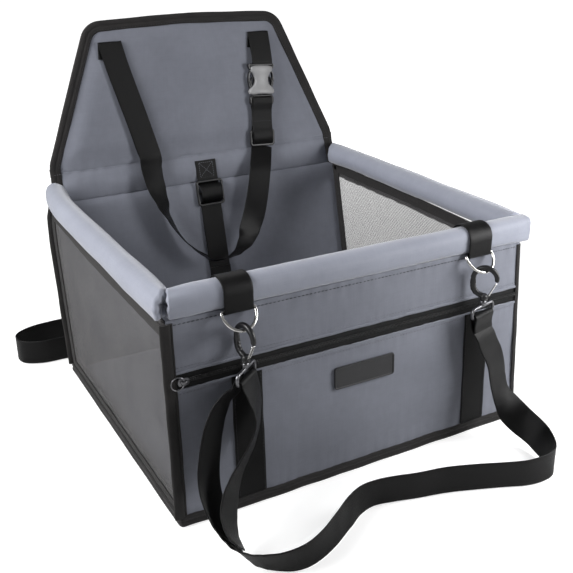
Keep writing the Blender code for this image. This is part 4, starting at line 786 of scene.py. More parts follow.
# The rear strap between its sewn ends: x, and how far it lies behind them
REAR_ROUTE = (
    (-0.1650, 0.0173), (-0.1980, 0.0263), (-0.2320, 0.0293), (-0.2530, 0.0423), (-0.2540, 0.0633),
    (-0.2350, 0.0773), (-0.1900, 0.0823), (-0.1200, 0.0783), (-0.0500, 0.0583), (0.0050, 0.0283),
    (0.0400, 0.0113),
)


def make_cord(name, curve, across, width, thick, node):
    """A free strap, lofted along its route at its real length."""
    strap = loft(name, web_rings(curve, across, width, thick))
    finish_piece(strap, "box", WEBBING, [node])


def strap_course(rows, per_span):
    """A smooth middle line through the rows, and the way of the width along it."""
    rows = np.asarray(rows, float)
    return smooth_curve(rows[:, :3], per_span), smooth_curve(rows[:, 3:], per_span)


def make_carry_strap():
    """The carry strap's free stretch, from one hook along the floor to the other."""
    curve, across = strap_course(CARRY, 6)
    make_cord("carry_webbing", curve, across, CARRY_WIDTH, CARRY_THICKNESS, "carry_strap")


def rear_route():
    """The rear strap's route: sewn to the back cover at both ends, its loop on the floor."""
    angle = math.atan(BACK_SLOPE)
    rear = BACK_THICKNESS / math.cos(angle)
    stand = REAR_WIDTH / 2 + 0.0015
    raised = stand + 0.011
    sewn_y = (RIM_BACK - BACK_SLOPE * (RIM_HEIGHT - raised) + rear
              + (2 * GAP + REAR_THICKNESS / 2) / math.cos(angle))
    upright = np.array((0, math.sin(angle), math.cos(angle)))
    level = np.array((0, 0, 1.0))
    left_end, right_end = REAR_SEWN_X - REAR_WIDTH, -REAR_SEWN_X - REAR_WIDTH
    leaving, slack = REAR_WIDTH / 5, sewn_y + REAR_THICKNESS
    points = [(REAR_SEWN_X, sewn_y, raised), (left_end, sewn_y, raised), (left_end - leaving, slack, raised)]
    points += [(x, sewn_y + y, stand) for x, y in REAR_ROUTE]
    points += [(right_end - leaving, slack, raised), (right_end, sewn_y, raised),
               (-REAR_SEWN_X, sewn_y, raised)]
    half = (upright + level) / 2
    sides = [upright] * 3 + [half] + [level] * (len(REAR_ROUTE) - 2) + [half] + [upright] * 3
    return smooth_curve(points, 6), eased(sides, 6)


def make_rear_strap():
    """The rear strap and the stitches that hold its two ends."""
    curve, across = rear_route()
    make_cord("rear_webbing", curve, across, REAR_WIDTH, REAR_THICKNESS, "rear_strap")
    rows = []
    for x in (REAR_SEWN_X - REAR_WIDTH / 2, -REAR_SEWN_X - REAR_WIDTH / 2):
        rows += box_stitch(Plane(back.at(x, 0.028 * BACK_SLANT, 0), back.up, -back.out), 0.023,
                           BACK_THICKNESS + 2 * GAP + REAR_THICKNESS)
    stitching("rear_strap_stitches", rows, "box", DARK_THREAD)


def box_stitch(plane, size, off):
    """The square with a cross that holds a strap's end."""
    h = size / 2
    corners = [(-h, -h), (h, -h), (h, h), (-h, h), (-h, -h), (h, h)]
    lines = list(zip(corners, corners[1:])) + [((-h, h), (h, -h))]
    sizes = {"pitch": 0.0026, "length": 0.0020, "radius": 0.00026}
    return [seam_on(plane, a[0], a[1], b[0], b[1], off, **sizes) for a, b in lines]


# Box: front

def make_front():
    """Pocket panel, zip, upper panel, webbing strips and the bare patch."""
    def pocket_relief(x, h):
        middle = np.where(x < 0, STRIPS[-1], STRIPS[1])
        strips = np.abs(np.abs(x - middle) - STRIP_WIDTH / 2)
        return (0.0007 * swell(x, h, 0.16, 3) * np.sin(np.clip((h - 0.003) / 0.137, 0, 1) * math.pi)
                + 0.00025 * pucker(x, 0.1408 - h, 0.011, 0.010, 5)
                + 0.0003 * pucker(x, h - 0.012, 0.014, 0.012, 7)
                + 0.00015 * pucker(h, strips, 0.009, 0.004, 9) + 0.0003)

    def upper_relief(x, h):
        return (0.0006 * swell(x, h, 0.11, 13) * np.sin(np.clip((h - 0.157) / 0.05, 0, 1) * math.pi)
                + 0.0003 * pucker(x, h - 0.157, 0.010, 0.008, 15)
                + 0.0004 * pucker(x, 0.2075 - h, 0.016, 0.010, 17) + 0.0003)

    cloth_panel("pocket_cloth", front, -HALF_WIDTH, HALF_WIDTH, 0.0022, 0.1410, "box", SLATE,
                ["pocket_panel"], relief=pocket_relief, cell=0.003)
    cloth_panel("upper_front_cloth", front, -HALF_WIDTH, HALF_WIDTH, 0.1568, 0.2079, "box", SLATE,
                ["front_upper_panel"], relief=upper_relief, cell=0.003)
    cloth_panel("front_lining", front, -HALF_WIDTH + 0.0012, HALF_WIDTH - 0.0012, 0.0022, 0.2056, "box",
                SLATE, ["front_board"], thick=0.0034, lift=-0.0018, cell=0.006,
                relief=lambda x, h: -0.0004 * swell(x, h, 0.12, 21))
    cloth_panel("zip_tape_cloth", front, -HALF_WIDTH, HALF_WIDTH, 0.1404, 0.1576, "box", ZIP_CLOTH,
                ["zip_tape"], thick=0.0012, lift=-0.0004, cell=0.004,
                relief=lambda x, h: 0.0002 * swell(x, h, 0.03, 23))
    for name, h, seed in (("upper_zip_welt", 0.1578, 27), ("lower_zip_welt", 0.1402, 29)):
        xs = np.linspace(-HALF_WIDTH, HALF_WIDTH, 120)
        wave = 0.00022 * swell(xs, xs * 0, 0.02, seed)
        points = front.at(xs, h + wave, 0.0003)
        finish_piece(loft(name, sweep(points, pillow_section(0.0030, 0.0017, 0.7, 12), front.out)), "box",
                     SLATE)
    make_zip_coil()
    for name, sign in (("left", -1), ("right", 1)):
        x = STRIPS[sign]
        hs = np.linspace(0.0125, 0.1405, 44)
        points = front.at(x + 0.0002 * swell(hs, hs, 0.06, 31 + sign), hs, GAP + 0.0009)
        rings = web_rings(points, front.right, STRIP_WIDTH, 0.0015, 0.0002)
        finish_piece(loft(name + "_strip_webbing", rings), "box", WEBBING, [name + "_front_strip"])
    make_patch()
    edge = HALF_WIDTH - 0.006
    rows = [seam_on(front, -edge, 0.1622, edge, 0.1622, 0.0004),
            seam_on(front, -edge, 0.1366, edge, 0.1366, 0.0004)]
    stitching("zip_stitches", rows, "box", SLATE_THREAD)
    rows = [seam_on(front, -edge, 0.2030, edge, 0.2030, 0.0004, pitch=0.0042, length=0.0030, radius=0.00042)]
    for sign in (-1, 1):
        for side in (-1, 1):
            x = STRIPS[sign] + side * 0.0135
            rows.append(seam_on(front, x, 0.0135, x, 0.139, 0.0021, radius=0.00024))
    stitching("front_dark_stitches", rows, "box", DARK_THREAD)


def draw_in(names, sign, y_far, y_near, heights, amounts):
    """Pull one upright corner of the box inwards, by amounts that grow with height."""
    for name in names:
        mesh = bpy.data.objects[name].data
        flat = np.zeros(3 * len(mesh.vertices))
        mesh.vertices.foreach_get("co", flat)
        co = flat.reshape(-1, 3)
        side = np.clip((sign * co[:, 0] - 0.150) / 0.05, 0, 1)
        near = np.clip((co[:, 1] - y_far) / (y_near - y_far), 0, 1)
        amount = np.interp(co[:, 2], heights, amounts)
        co[:, 0] -= sign * amount * side * side * (3 - 2 * side) * near * near * (3 - 2 * near)
        mesh.vertices.foreach_set("co", co.ravel())
        mesh.update()


def make_zip_coil():
    """Two rows of interlocked coil turns on their tape."""
    pieces = []
    angles = turns_of(8)
    shares = np.array([(-0.5, 0.35), (-0.35, 0.9), (0, 1), (0.35, 0.9), (0.5, 0.35)])
    pitch = 0.0016
    for k in range(int(2 * (HALF_WIDTH - 0.002) / pitch)):
        x = -HALF_WIDTH + 0.002 + pitch * k
        for side in (-1, 1):
            rings = []
            for share, width in shares:
                height = ZIP_HEIGHT + side * 0.0009 + share * 0.0026
                centre = front.at(x + (side > 0) * pitch / 2, height, 0.0006)
                rings.append(centre + 0.00058 * width * (np.cos(angles)[:, None] * front.right
                                                         + 1.1 * np.sin(angles)[:, None] * front.out))
            pieces.append(loft_parts(rings))
    finish_piece(solid("zip_coil", *joined(pieces)), "box", ZIP_COIL, ["zip_chain"])


def make_patch():
    """The rubber patch, left bare: a raised border round a plain field."""
    outline = rounded_outline(0.070, 0.0235, 0.003, 8, (0, ZIP_HEIGHT - 0.040))
    base = GAP + 0.0003
    levels = [(0.0002, base), (0, base + 0.0004), (0, base + 0.0014), (0.00025, base + 0.0018),
              (0.0006, base + 0.0019), (0.0011, base + 0.0019), (0.0014, base + 0.0016),
              (0.0017, base + 0.0013), (0.0030, base + 0.00125)]
    patch = solid("bare_patch", *stack(front, outline, levels), sharp=35)
    finish_piece(patch, "box", RUBBER, ["label_patch"])
    path = front.at(*inset(outline, 0.0022).T, base + 0.0013)
    path = np.concatenate([path, path[:1]])
    row = stitch_row(path, front.out, pitch=0.0026, length=0.0019, radius=0.0002)
    finish_piece(solid("patch_stitches", *row), "box", DARK_THREAD)


# Box: sides, back, base

def front_inside(z):
    """Where the mesh side meets the front, at a height."""
    return FRONT_FOOT_Y + FRONT_SLOPE * z + 0.0056


def back_inside(z):
    """Where the mesh side meets the back, at a height."""
    return RIM_BACK - BACK_SLOPE * (RIM_HEIGHT - z)


def make_sides():
    """See-through mesh sides, with tape along the edges inside and out."""
    for name, sign in (("left", -1), ("right", 1)):
        zs = np.linspace(0.0022, 0.2060, 52)
        t = np.linspace(0, 1, 92)
        z, share = np.meshgrid(zs, t, indexing="ij")
        y = front_inside(z) + (back_inside(z) - 0.0005 - front_inside(z)) * share
        span = np.sin(math.pi * np.clip((z - 0.002) / 0.204, 0, 1)) * np.sin(math.pi * share)
        sag = 0.0009 * swell(y, z, 0.13, 41 + sign) * span + 0.0008 * span
        x = sign * (HALF_WIDTH - 0.0004) - sign * sag
        outer = np.stack([x, y, z], -1)
        inner = np.stack([x - sign * 0.0006, y, z], -1)
        mesh = shell(name + "_mesh", outer, inner)
        layer = mesh.data.uv_layers["cloth"].data
        for loop in mesh.data.loops:
            co = mesh.data.vertices[loop.vertex_index].co
            layer[loop.index].uv = (co.y, co.z)
        finish_piece(mesh, "box", SIDE_MESH, [name + "_mesh_panel"])
        make_side_tapes(name, sign)


def make_side_tapes(name, sign):
    """Bound edges of one mesh side, seen from inside the box and from outside it."""
    inside = sign * (HALF_WIDTH - 0.0012)
    outside = sign * (HALF_WIDTH + 0.0002)
    zs = np.linspace(0.004, 0.2052, 60)
    ys = np.linspace(front_inside(0.2) + 0.001, back_inside(0.2) - 0.0015, 90)
    def path_of(x, y, z):
        return np.stack(np.broadcast_arrays(x, y, z), 1).astype(float)

    low, low_outside = 0.0180, 0.0165
    foot = np.linspace(front_inside(low), back_inside(low) - 0.001, 90)
    foot_outside = np.linspace(front_inside(low_outside), back_inside(low_outside), 90)
    inner = inside - sign * 0.0006
    tapes = {"upper_tape": (path_of(inner, ys, 0.1994), 0.0122, 0.0010),
             "outer_upper_tape": (path_of(outside, ys, 0.1938), 0.0125, 0.0012),
             "rear_tape": (path_of(inner, back_inside(zs) - 0.0088, zs), 0.0140, 0.0010),
             "fore_tape": (path_of(inner, front_inside(zs) + 0.0048, zs), 0.0085, 0.0010),
             "foot_tape": (path_of(inner, foot, low), 0.0085, 0.0010),
             "outer_fore_tape": (path_of(outside, front_inside(zs) - 0.0004, zs), 0.0090, 0.0012),
             "outer_rear_tape": (path_of(outside, back_inside(zs) - 0.0008, zs), 0.0150, 0.0012),
             "outer_foot_tape": (path_of(outside, foot_outside, 0.0150), 0.0075, 0.0012)}
    for index, (part, (path, width, thick)) in enumerate(tapes.items()):
        wander = 0.00025 * swell(path[:, 1], path[:, 2], 0.03, 50 + index)
        path = path + np.stack([path[:, 0] * 0, wander, wander], 1)
        rings = sweep(path, pillow_section(width, thick, 0.55, 16), (sign, 0, 0))
        nodes = [name + "_top_tape"] if part == "upper_tape" else []
        finish_piece(loft(name + "_" + part, rings), "box", EDGE_TAPE, nodes)
    rows = []
    for face, set_in, z_high in ((back_inside, -0.0030, 0.203), (front_inside, 0.0030, 0.200)):
        z = np.linspace(0.014, z_high, 40)
        points = path_of(outside + sign * 0.0006, face(z) + set_in, z)
        rows.append((points, (sign, 0.0, 0.0), {"radius": 0.00028}))
    stitching(name + "_side_stitches", rows, "box", DARK_THREAD)


def over_hinge(x=0.0):
    """The two bodies and the two points of a piece that crosses the flap's hinge."""
    return "box", "flap", (x, 0.2231, 0.2385), (x, 0.2238, 0.2425)


def make_back():
    """Back liner, the fold band above it, the rear cover and their seams."""
    seam, hinge = SEAM_HEIGHT * BACK_SLANT, HINGE[2] * BACK_SLANT
    width = HALF_WIDTH

    def liner_relief(x, h):
        hollow = np.sin(np.clip(h / seam, 0, 1) * math.pi)
        below = np.clip(seam - h, 0, 1)
        fade = np.exp(-((below - 0.006) / 0.030) ** 2 * (below > 0.006))
        roll = 0.0026 * (1 - np.exp(-below / 0.006)) * fade
        return (roll + 0.0010 * swell(x, h, 0.15, 61) * hollow + 0.0003 * pucker(x, below, 0.018, 0.012, 63)
                - 0.0008 * np.exp(-(below / 0.004) ** 2))

    def band_relief(x, h):
        middle = np.sin(np.clip((h - seam) / (hinge - seam), 0, 1) * math.pi)
        drawn = pinch(np.minimum(x + 0.1920, 0.2060 - x))
        return (0.0030 * middle * (1 - drawn / 0.0022) - drawn + 0.0004 * swell(x, h, 0.07, 65) * middle
                + 0.0003 * pucker(x, hinge - h, 0.015, 0.008, 67)
                + 0.0003 * pucker(x, h - seam, 0.017, 0.008, 69))

    cloth_panel("back_lining", back, -width, width, 0.0040, seam, "box", SLATE, ["back_liner"],
                relief=liner_relief, cell=0.004)
    cloth_panel("fold_band_cloth", back, -0.1880, 0.2010, seam - 0.0005, hinge - 0.0003, "box", SLATE,
                ["fold_band"], thick=0.0024, lift=-0.0004, relief=band_relief, cell=0.003)
    rear = Plane(back.origin, back.up, -back.out)
    cloth_panel("rear_cover_cloth", rear, -width, width, 0.0040, seam, "box", DARK_CLOTH, ["back_cover"],
                lift=BACK_THICKNESS, cell=0.005, relief=lambda x, h: 0.0006 * swell(x, h, 0.14, 71))
    cloth_panel("rear_band_cloth", rear, -0.2010, 0.1880, seam - 0.0005, hinge - 0.0003, "box", DARK_CLOTH,
                lift=0.0042, thick=0.0018, cell=0.004,
                relief=lambda x, h: 0.0003 * swell(x, h, 0.05, 73) + 0.0026 * (h < seam + 0.003))
    end = width - 0.004
    rows = [seam_on(back, -end, height, end, height, raised, radius=0.00026)
            for height, raised in ((seam + 0.0012, -0.0002), (hinge - 0.0018, 0.0002))]
    stitching("back_seam_stitches", rows, "box", SLATE_THREAD)
    for name, foot, head in (("left", -0.1862, -0.1844), ("right", 0.2015, 0.1976)):
        hs = np.linspace(seam - 0.004, hinge + 0.0008, 14)
        xs = np.linspace(foot, head, 14) + 0.0002 * swell(hs, hs, 0.03, 75)
        points = back.at(xs, hs, -BACK_THICKNESS / 2)
        rings = sweep(points, FLAP_TAPE, back.out)
        finish_piece(loft(name + "_band_tape", rings), "box", EDGE_TAPE)
        side = math.copysign(0.0003, head)
        low = back.at(head, hinge - 0.0050, -BACK_THICKNESS / 2)
        high = flap.at(head, 0.0050, -BACK_THICKNESS / 2)
        line = np.linspace(low, high, 9) + np.array((side, 0, 0))
        bridge = loft(name + "_hinge_tape", sweep(line, FLAP_TAPE * (1.02, 1.06), unit(back.out + flap.out)))
        finish_piece(bridge, over_hinge(head), EDGE_TAPE)
    make_hinge_cloth()


def make_hinge_cloth():
    """The cloth that bends at the hinge line, between the band and the flap."""
    hinge = HINGE[2] * BACK_SLANT
    xs = np.linspace(-0.1850, 0.1985, 90)
    rows = []
    for share in np.linspace(0, 1, 9):
        low = back.at(xs, hinge - 0.0022, 0.0001 - pinch(np.minimum(xs + 0.1905, 0.2040 - xs)))
        high = flap.at(xs, 0.0026, 0.0001 - pinch(np.minimum(xs + 0.1905, 0.2040 - xs)))
        dip = 0.0006 * math.sin(share * math.pi)
        rows.append(low * (1 - share) + high * share + np.array((0, 1, 0)) * dip)
    outer = np.array(rows)
    hinge_cloth = shell("hinge_cloth", outer, outer + np.array((0, 0.0012, 0.0002)))
    finish_piece(hinge_cloth, over_hinge(), SLATE)


def make_base():
    """Base cloth, its underside, and the padded floor."""
    floor_low, floor_high = -0.1752, 0.1752
    plane = Plane((0, 0, 0), (0, 1, 0), (0, 0, 1))
    cloth_panel("base_cloth", plane, -HALF_WIDTH + 0.0005, HALF_WIDTH - 0.0005, floor_low, floor_high,
                "box", DARK_CLOTH, ["base_fabric"], thick=0.0013, lift=0.0014, cell=0.01)
    make_floor_pad()


def make_floor_pad():
    """The soft floor: a crowned pad with a rounded edge."""
    low, high = (-0.1958, -0.1662), (0.1958, 0.1622)
    centre = ((low[0] + high[0]) / 2, (low[1] + high[1]) / 2)
    width, depth = high[0] - low[0], high[1] - low[1]
    rings = []
    levels = ((0.006, 0.0054), (0.0012, 0.0060), (0, 0.0080), (0.0004, 0.0098), (0.003, 0.0114),
              (0.010, 0.0124), (0.025, 0.0128), (0.05, 0.0130), (0.085, 0.0131), (0.13, 0.0131))
    sides = even_ring(rounded_outline(width, depth, 0.010, 8, centre), 0.008)
    half = np.array((width, depth)) / 2
    for draw, z in levels:
        shape = (sides - centre) * (1 - draw / half)
        x, y = (shape + centre).T
        bump = 0.0005 * swell(x, y, 0.10, 83) * np.clip(draw / 0.02, 0, 1)
        rings.append(np.stack([x, y, z + bump - 0.0004], 1))
    pad = loft("floor_pad", rings)
    finish_piece(pad, "box", SLATE, ["base_pad"])


# Rim sleeves

def sleeve_section(lower, upper, deep):
    """Round, its outer parts drawn out by shares towards a sewn corner below and a ridge above."""
    points = []
    for t in turns_of(48):
        out, up = math.cos(t), math.sin(t)
        if out > 0:
            power = 1 - 0.72 * (lower if up < 0 else upper)
            out, up = out ** power, math.copysign(abs(up) ** power, up)
        if up < 0:
            up *= deep
        points.append((out, up))
    return np.array(points)


# How a sleeve's end closes, drawn in or puffed out: (distance beyond its end, share of its radius)
CLOSING = ((0.0003, 0.985), (0.0010, 0.93), (0.0017, 0.84), (0.0019, 0.71), (0.0012, 0.55), (-0.0006, 0.38),
           (-0.0024, 0.20), (-0.0032, 0.05))
PUFFED = ((0.0012, 0.975), (0.0028, 0.91), (0.0043, 0.82), (0.0052, 0.70), (0.0052, 0.56), (0.0040, 0.40),
          (0.0020, 0.22), (0.0008, 0.06))


def make_sleeve(name, start, end, out, seed, nodes, lower=(0.0, 0.0), upper=(0.0, 0.0), skew=(0.0, 0.0),
                ends=((1, 1), (1, 1)), gather=(0.0, 0.0), tuck=0.0, first=CLOSING,
                deep=1.0):
    """A padded sleeve over a rim tube, its cloth gathered and sewn down at both ends."""
    start, end, out = (np.asarray(v, float) for v in (start, end, out))
    length = np.linalg.norm(end - start)
    way, up = (end - start) / length, np.array((0, 0, 1.0))

    def ring(place, scale=1.0, bulge=0.0):
        mix = (place / length) ** 4
        section = sleeve_section(lower[0] * (1 - mix) + lower[1] * mix, upper[0] * (1 - mix) + upper[1] * mix,
                                 deep)
        turn = np.arctan2(section[:, 1], section[:, 0])
        folds = (0.00008 * swell(turn * 0.012, turn * 0 + place, 0.045, seed)
                 + 0.00028 * swell(turn * 0.006, turn * 0 + place, 0.12, seed + 1))
        wide, high, slide = 1.0, 1.0, turn * 0 + bulge
        for k, distance in enumerate((place, length - place)):
            fade = math.exp(-(distance / 0.016) ** 1.3)
            ripple = np.sin(5 * turn + 1.7 * k) * 0.6 + np.sin(8 * turn + 2 + 60 * distance) * 0.5
            folds = folds + gather[k] * fade * ripple
            slide = slide + (2 * k - 1) * skew[k] * section[:, 0] * scale * math.exp(-distance / 0.025)
            fade = math.exp(-(distance / 0.013) ** 2)
            wide *= 1 - (1 - ends[k][0]) * fade
            high *= 1 - (1 - ends[k][1]) * fade
        if scale < 1:
            slide = slide + np.sign(bulge or 1) * 0.0009 * (1 - scale) * scale * 4 * np.sin(7 * turn + seed)
        reach = (SLEEVE_RADIUS - 0.0006 + folds) * scale
        centre = start + way * place - out * tuck * max(0.0, place / length - 0.75) ** 2 * 16
        return (centre + out * (section[:, :1] * reach[:, None] * wide)
                + up * (section[:, 1:] * reach[:, None] * high) + way * slide[:, None])

    fine = 0.0012 * np.array([0, 0.4, 1, 1.8, 2.8, 4, 5.5, 7.3, 9.5, 12, 15, 19, 24])
    places = np.concatenate([fine, np.linspace(fine[-1], length - fine[-1], 66)[1:-1], length - fine[::-1]])
    rings = [ring(0.0, scale, -bulge) for bulge, scale in reversed(first)] + [ring(p) for p in places]
    rings += [ring(length, scale, bulge) for bulge, scale in CLOSING]
    sleeve = loft(name, rings)
    finish_piece(sleeve, "box", RIM_CLOTH_PAINTED_LIGHT, nodes)


def make_rim():
    """Three padded sleeves with the tubes inside them."""
    z = RIM_HEIGHT
    make_sleeve("front_sleeve", (-0.1945, RIM_Y, z), (0.2035, RIM_Y, z), (0, -1, 0), 91, ["front_rim_sleeve"],
                lower=(0.35, 0.9), upper=(0.0, 0.75), skew=(0.004, 0.0), ends=((0.95, 0.96), (0.93, 1.0)),
                gather=(0.0006, 0.0002))
    make_sleeve("left_sleeve", (-SIDE_RIM_X, -0.1585, z), (-SIDE_RIM_X, 0.2090, z), (-1, 0, 0), 95,
                ["left_rim_sleeve"], lower=(0.50, 0.5), skew=(0.0085, 0.0065),
                ends=((0.94, 1.04), (0.83, 0.98)), gather=(0.0009, 0.0003), tuck=0.0092, first=PUFFED,
                deep=0.88)
    make_sleeve("right_sleeve", (SIDE_RIM_X, -0.1500, z), (SIDE_RIM_X, 0.2090, z), (1, 0, 0), 99,
                ["right_rim_sleeve"], lower=(0.5, 0.5), upper=(0.3, 0.3), skew=(0.0, 0.010),
                ends=((0.95, 0.98), (0.92, 0.98)), gather=(0.0003, 0.0003), tuck=0.004)
    for name, start, end in (("front", (-0.185, RIM_Y, z), (0.190, RIM_Y, z)),
                             ("left", (-SIDE_RIM_X, -0.148, z), (-SIDE_RIM_X, 0.140, z)),
                             ("right", (SIDE_RIM_X, -0.140, z), (SIDE_RIM_X, 0.180, z))):
        line = np.linspace(start, end, 12)
        finish_piece(loft(name + "_tube_plastic", sweep(line, round_section(0.0100, 24), (0, 0, 1))), "box",
                     WHITE_PLASTIC, [name + "_rim_tube"])


def make_boards():
    """The stiffening boards, cut smaller than the covers that they are sewn into."""
    half, seam = 0.1860, SEAM_HEIGHT * BACK_SLANT
    back_shape = rounded_outline(2 * half, seam - 0.020, 0.006, 6, (0, seam / 2 + 0.004))
    for name, plane, outline, low, high, body in (
            ("back_stiffener", back, back_shape, -0.0050, -0.0026, "box"),
            ("flap_stiffener", flap, flap_outline(0.0230), -0.0043, -0.0029, "flap")):
        board = solid(name, *stack(plane, outline, plate_levels(low, high, 0.0003)), sharp=35)
        finish_piece(board, body, BOARD, [name.replace("stiffener", "board")])
    floor = bpy.data.objects["base_board"]
    floor.data.materials.clear()
    floor.data.materials.append(BOARD)


# Bindings

def binding_section(width, thick):
    """A folded tape: thin at its sewn edge, full and round at its fold."""
    half = [(-0.5, 0.12), (-0.47, 0.62), (-0.38, 0.66), (-0.32, 0.41), (-0.26, 0.70), (-0.1, 0.92),
            (0.15, 1.0), (0.34, 0.9), (0.46, 0.55), (0.5, 0.15)]
    ring = half + [(a, -b) for a, b in reversed(half)]
    return np.array([(a * width, b * thick / 2) for a, b in ring])


def ribbon(line, thick):
    """A thin closed section that follows a line."""
    line = smooth_curve([np.array((*p, 0.0)) for p in line], 3)[:, :2]
    along = unit(np.gradient(line, axis=0))
    normal = np.stack([-along[:, 1], along[:, 0]], 1) * thick / 2
    taper = np.ones(len(line))
    taper[[0, -1]] = 0.35
    normal = normal * taper[:, None]
    return np.concatenate([line + normal, (line - normal)[::-1]])


def make_bindings():
    """Black tape up each corner and round the base."""
    flat = binding_section(0.0122, 0.0034)
    lines = {
        "front_left": flat * (-1, 1) + (-0.0005, -0.0008),
        "front_right": ribbon(((-0.0046, -0.0008), (-0.0014, -0.0009), (-0.0002, -0.0005), (0.0006, 0.0006),
                               (0.0009, 0.0030), (0.0008, 0.0095)), 0.0011),
        "back_left": flat * (-1, 1) * 0.86 + (-0.0010, 0.0006),
        "back_right": flat * (1, 1) * 0.86 + (0.0010, 0.0006),
    }
    for index, (name, section) in enumerate(lines.items()):
        sign, way = (-1 if "left" in name else 1), (-1 if "front" in name else 1)
        zs = np.linspace(0.0105, 0.2050, 72)
        if way < 0:
            ys = FRONT_FOOT_Y + FRONT_SLOPE * zs
        else:
            ys = RIM_BACK - BACK_SLOPE * (RIM_HEIGHT - zs) + BACK_THICKNESS * BACK_SLANT * 0.6
        wander = 0.0003 * swell(zs, zs * 0, 0.05, 101 + index)
        path = np.stack([sign * HALF_WIDTH + wander, ys, zs], 1)
        section = np.concatenate([section, section[:, :1] * 0], 1)
        finish_piece(loft(name + "_corner_tape", path[:, None] + section[None]), "box", EDGE_TAPE,
                     [name + "_binding"])
    path = even_ring(rounded_outline(2 * HALF_WIDTH + 0.0016, BASE_DEPTH + 0.0016, 0.0035, 6), 0.005)
    wander = 0.0003 * swell(path[:, 0], path[:, 1], 0.05, 121)
    points = np.stack([path[:, 0], path[:, 1], 0.0062 + wander], 1)
    section = np.array([(-0.0016, -0.0060), (0.0006, -0.0061), (0.0016, -0.0048), (0.0019, -0.0026),
                        (0.0011, -0.0009), (0.0011, 0.0004), (0.0018, 0.0019), (0.0017, 0.0038),
                        (0.0007, 0.0050), (-0.0006, 0.0053), (-0.0018, 0.0050), (-0.0022, 0.0)])
    rings = sweep(points, section, (0, 0, 1), closed=True)
    finish_piece(loft("base_tape", rings, closed_path=True), "box", EDGE_TAPE, ["bottom_binding"])


# Flap

FLAP_TAPE_HALF = ((-0.5, 0.45), (-0.485, 0.74), (-0.42, 0.90), (-0.24, 1.0), (-0.09, 0.96), (0.0, 0.78),
                  (0.09, 0.96), (0.24, 1.0), (0.42, 0.90), (0.485, 0.74), (0.5, 0.45))
FLAP_TAPE = np.array([(a * 0.0128, b * 0.0031) for a, b in FLAP_TAPE_HALF]
                     + [(a * 0.0128, -b * 0.0031) for a, b in reversed(FLAP_TAPE_HALF)])


def pinch(gap):
    """How far padded cloth is drawn in beside a sewn edge, from the distance to that edge."""
    share = np.clip((gap - 0.0120) / 0.018, 0, 1)
    return 0.0022 * (1 - share) ** 2


def flap_outline(draw):
    """The flap's outline from its lower left, round the top, to its lower right."""
    low, high = 0.193 - draw, 0.125 - draw * 0.8
    top, step, crown = 0.1748 - draw, 0.010 - draw * 0.2, 0.0042
    corners = [(-low, 0.0007), (low, 0.0007), (low, step), (high, top - crown), (0, top),
               (-high, top - crown), (-low, step)]
    radius = 0.026 - draw
    return rounded_corners(corners, [0, 0, 0.02, radius, 0.2, radius, 0.02], 10)


def on_flap(x, h, off):
    """A place on the flap, whose outline is a little fuller on the right and slimmer on the left."""
    fuller = np.interp(h, (-0.01, 0.012, 0.04, 0.12, 0.175), (0.060, 0.047, 0.038, 0.044, 0.038))
    slimmer = np.interp(h, (0, 0.05, 0.09, 0.13, 0.175), (0.016, 0.022, 0.014, 0.0, -0.008))
    swing = np.clip((h - 0.150) / 0.02, 0, 1) * np.sin(np.clip(np.abs(x) / 0.12, 0, 1) * math.pi)
    return flap.at(x * np.where(x > 0, 1 + fuller, 1 - slimmer), h + 0.0012 * swing, off)


def make_flap():
    """The fold-down flap: padded face, rear cover and a thick bound edge."""
    outline = flap_outline(0.0032)
    left = outline[outline[:, 0] < -0.006]
    left = left[np.argsort(left[:, 1])]
    gone = gone_along(left)
    rim = at_places(np.linspace(0, gone[-1], 74), gone, left)
    x = rim[:, :1] * np.linspace(1, -1, 96)[None]
    h = np.broadcast_to(rim[:, 1:], x.shape)
    inside = np.clip(np.minimum(np.minimum(0.1716 - h, h), 0.19 - 0.41 * h - np.abs(x)) / 0.03, 0, 1)
    plump = np.sin(inside * math.pi / 2)
    spread = np.where(h < 0.030, 0.020, 0.060)
    foot = np.exp(-((h - 0.030) / spread) ** 2)
    drawn = pinch(np.minimum(0.1748 - h, (0.193 - 0.41 * h - np.abs(x)) * 0.92))
    relief = (0.0004 * plump - drawn + 0.0026 * (foot - 0.105) * plump
              + 0.0005 * swell(x, h, 0.13, 131) * plump + 0.0004 * pucker(x, h, 0.016, 0.010, 133)
              + 0.0003 * pucker(h + np.abs(x), 0.1716 - h, 0.015, 0.008, 135))
    outer, inner = on_flap(x, h, relief), on_flap(x, h, -CLOTH + relief)
    finish_piece(shell("flap_face_cloth", outer, inner), "flap", SLATE, ["flap_front_cover"])
    rear_relief = 0.0006 * swell(x, h, 0.12, 137) * plump - drawn
    outer = on_flap(x, h, -BACK_THICKNESS - rear_relief)
    inner = on_flap(x, h, -BACK_THICKNESS + CLOTH - rear_relief)
    finish_piece(shell("flap_rear_cloth", outer, inner), "flap", DARK_CLOTH, ["flap_rear_cover"])
    make_flap_tape()
    make_flap_stitches()


def make_flap_tape():
    """The thick binding round three edges of the flap."""
    edge = flap_outline(0.0056)[1:]
    start = np.argmin(np.where(edge[:, 0] > 0, edge[:, 1], 9))
    edge = np.roll(edge, -start, 0)
    edge = edge[edge[:, 1] > 0.0004]
    edge = np.concatenate([edge[:1] - (0, 0.0020), edge, edge[-1:] - (0, 0.0020)])
    path = smooth_curve(on_flap(edge[:, 0], edge[:, 1], -BACK_THICKNESS / 2), 3)
    gone = gone_along(path)
    even = np.linspace(0, gone[-1], 190)
    path = at_places(even, gone, path)
    swing = 1 + 0.03 * swell(even, even * 0, 0.04, 139)
    sections = FLAP_TAPE[None] * swing[:, None, None]
    rings = sweep(path, sections, flap.out)
    finish_piece(loft("flap_edge_tape", rings), "flap", EDGE_TAPE, ["flap_binding"])


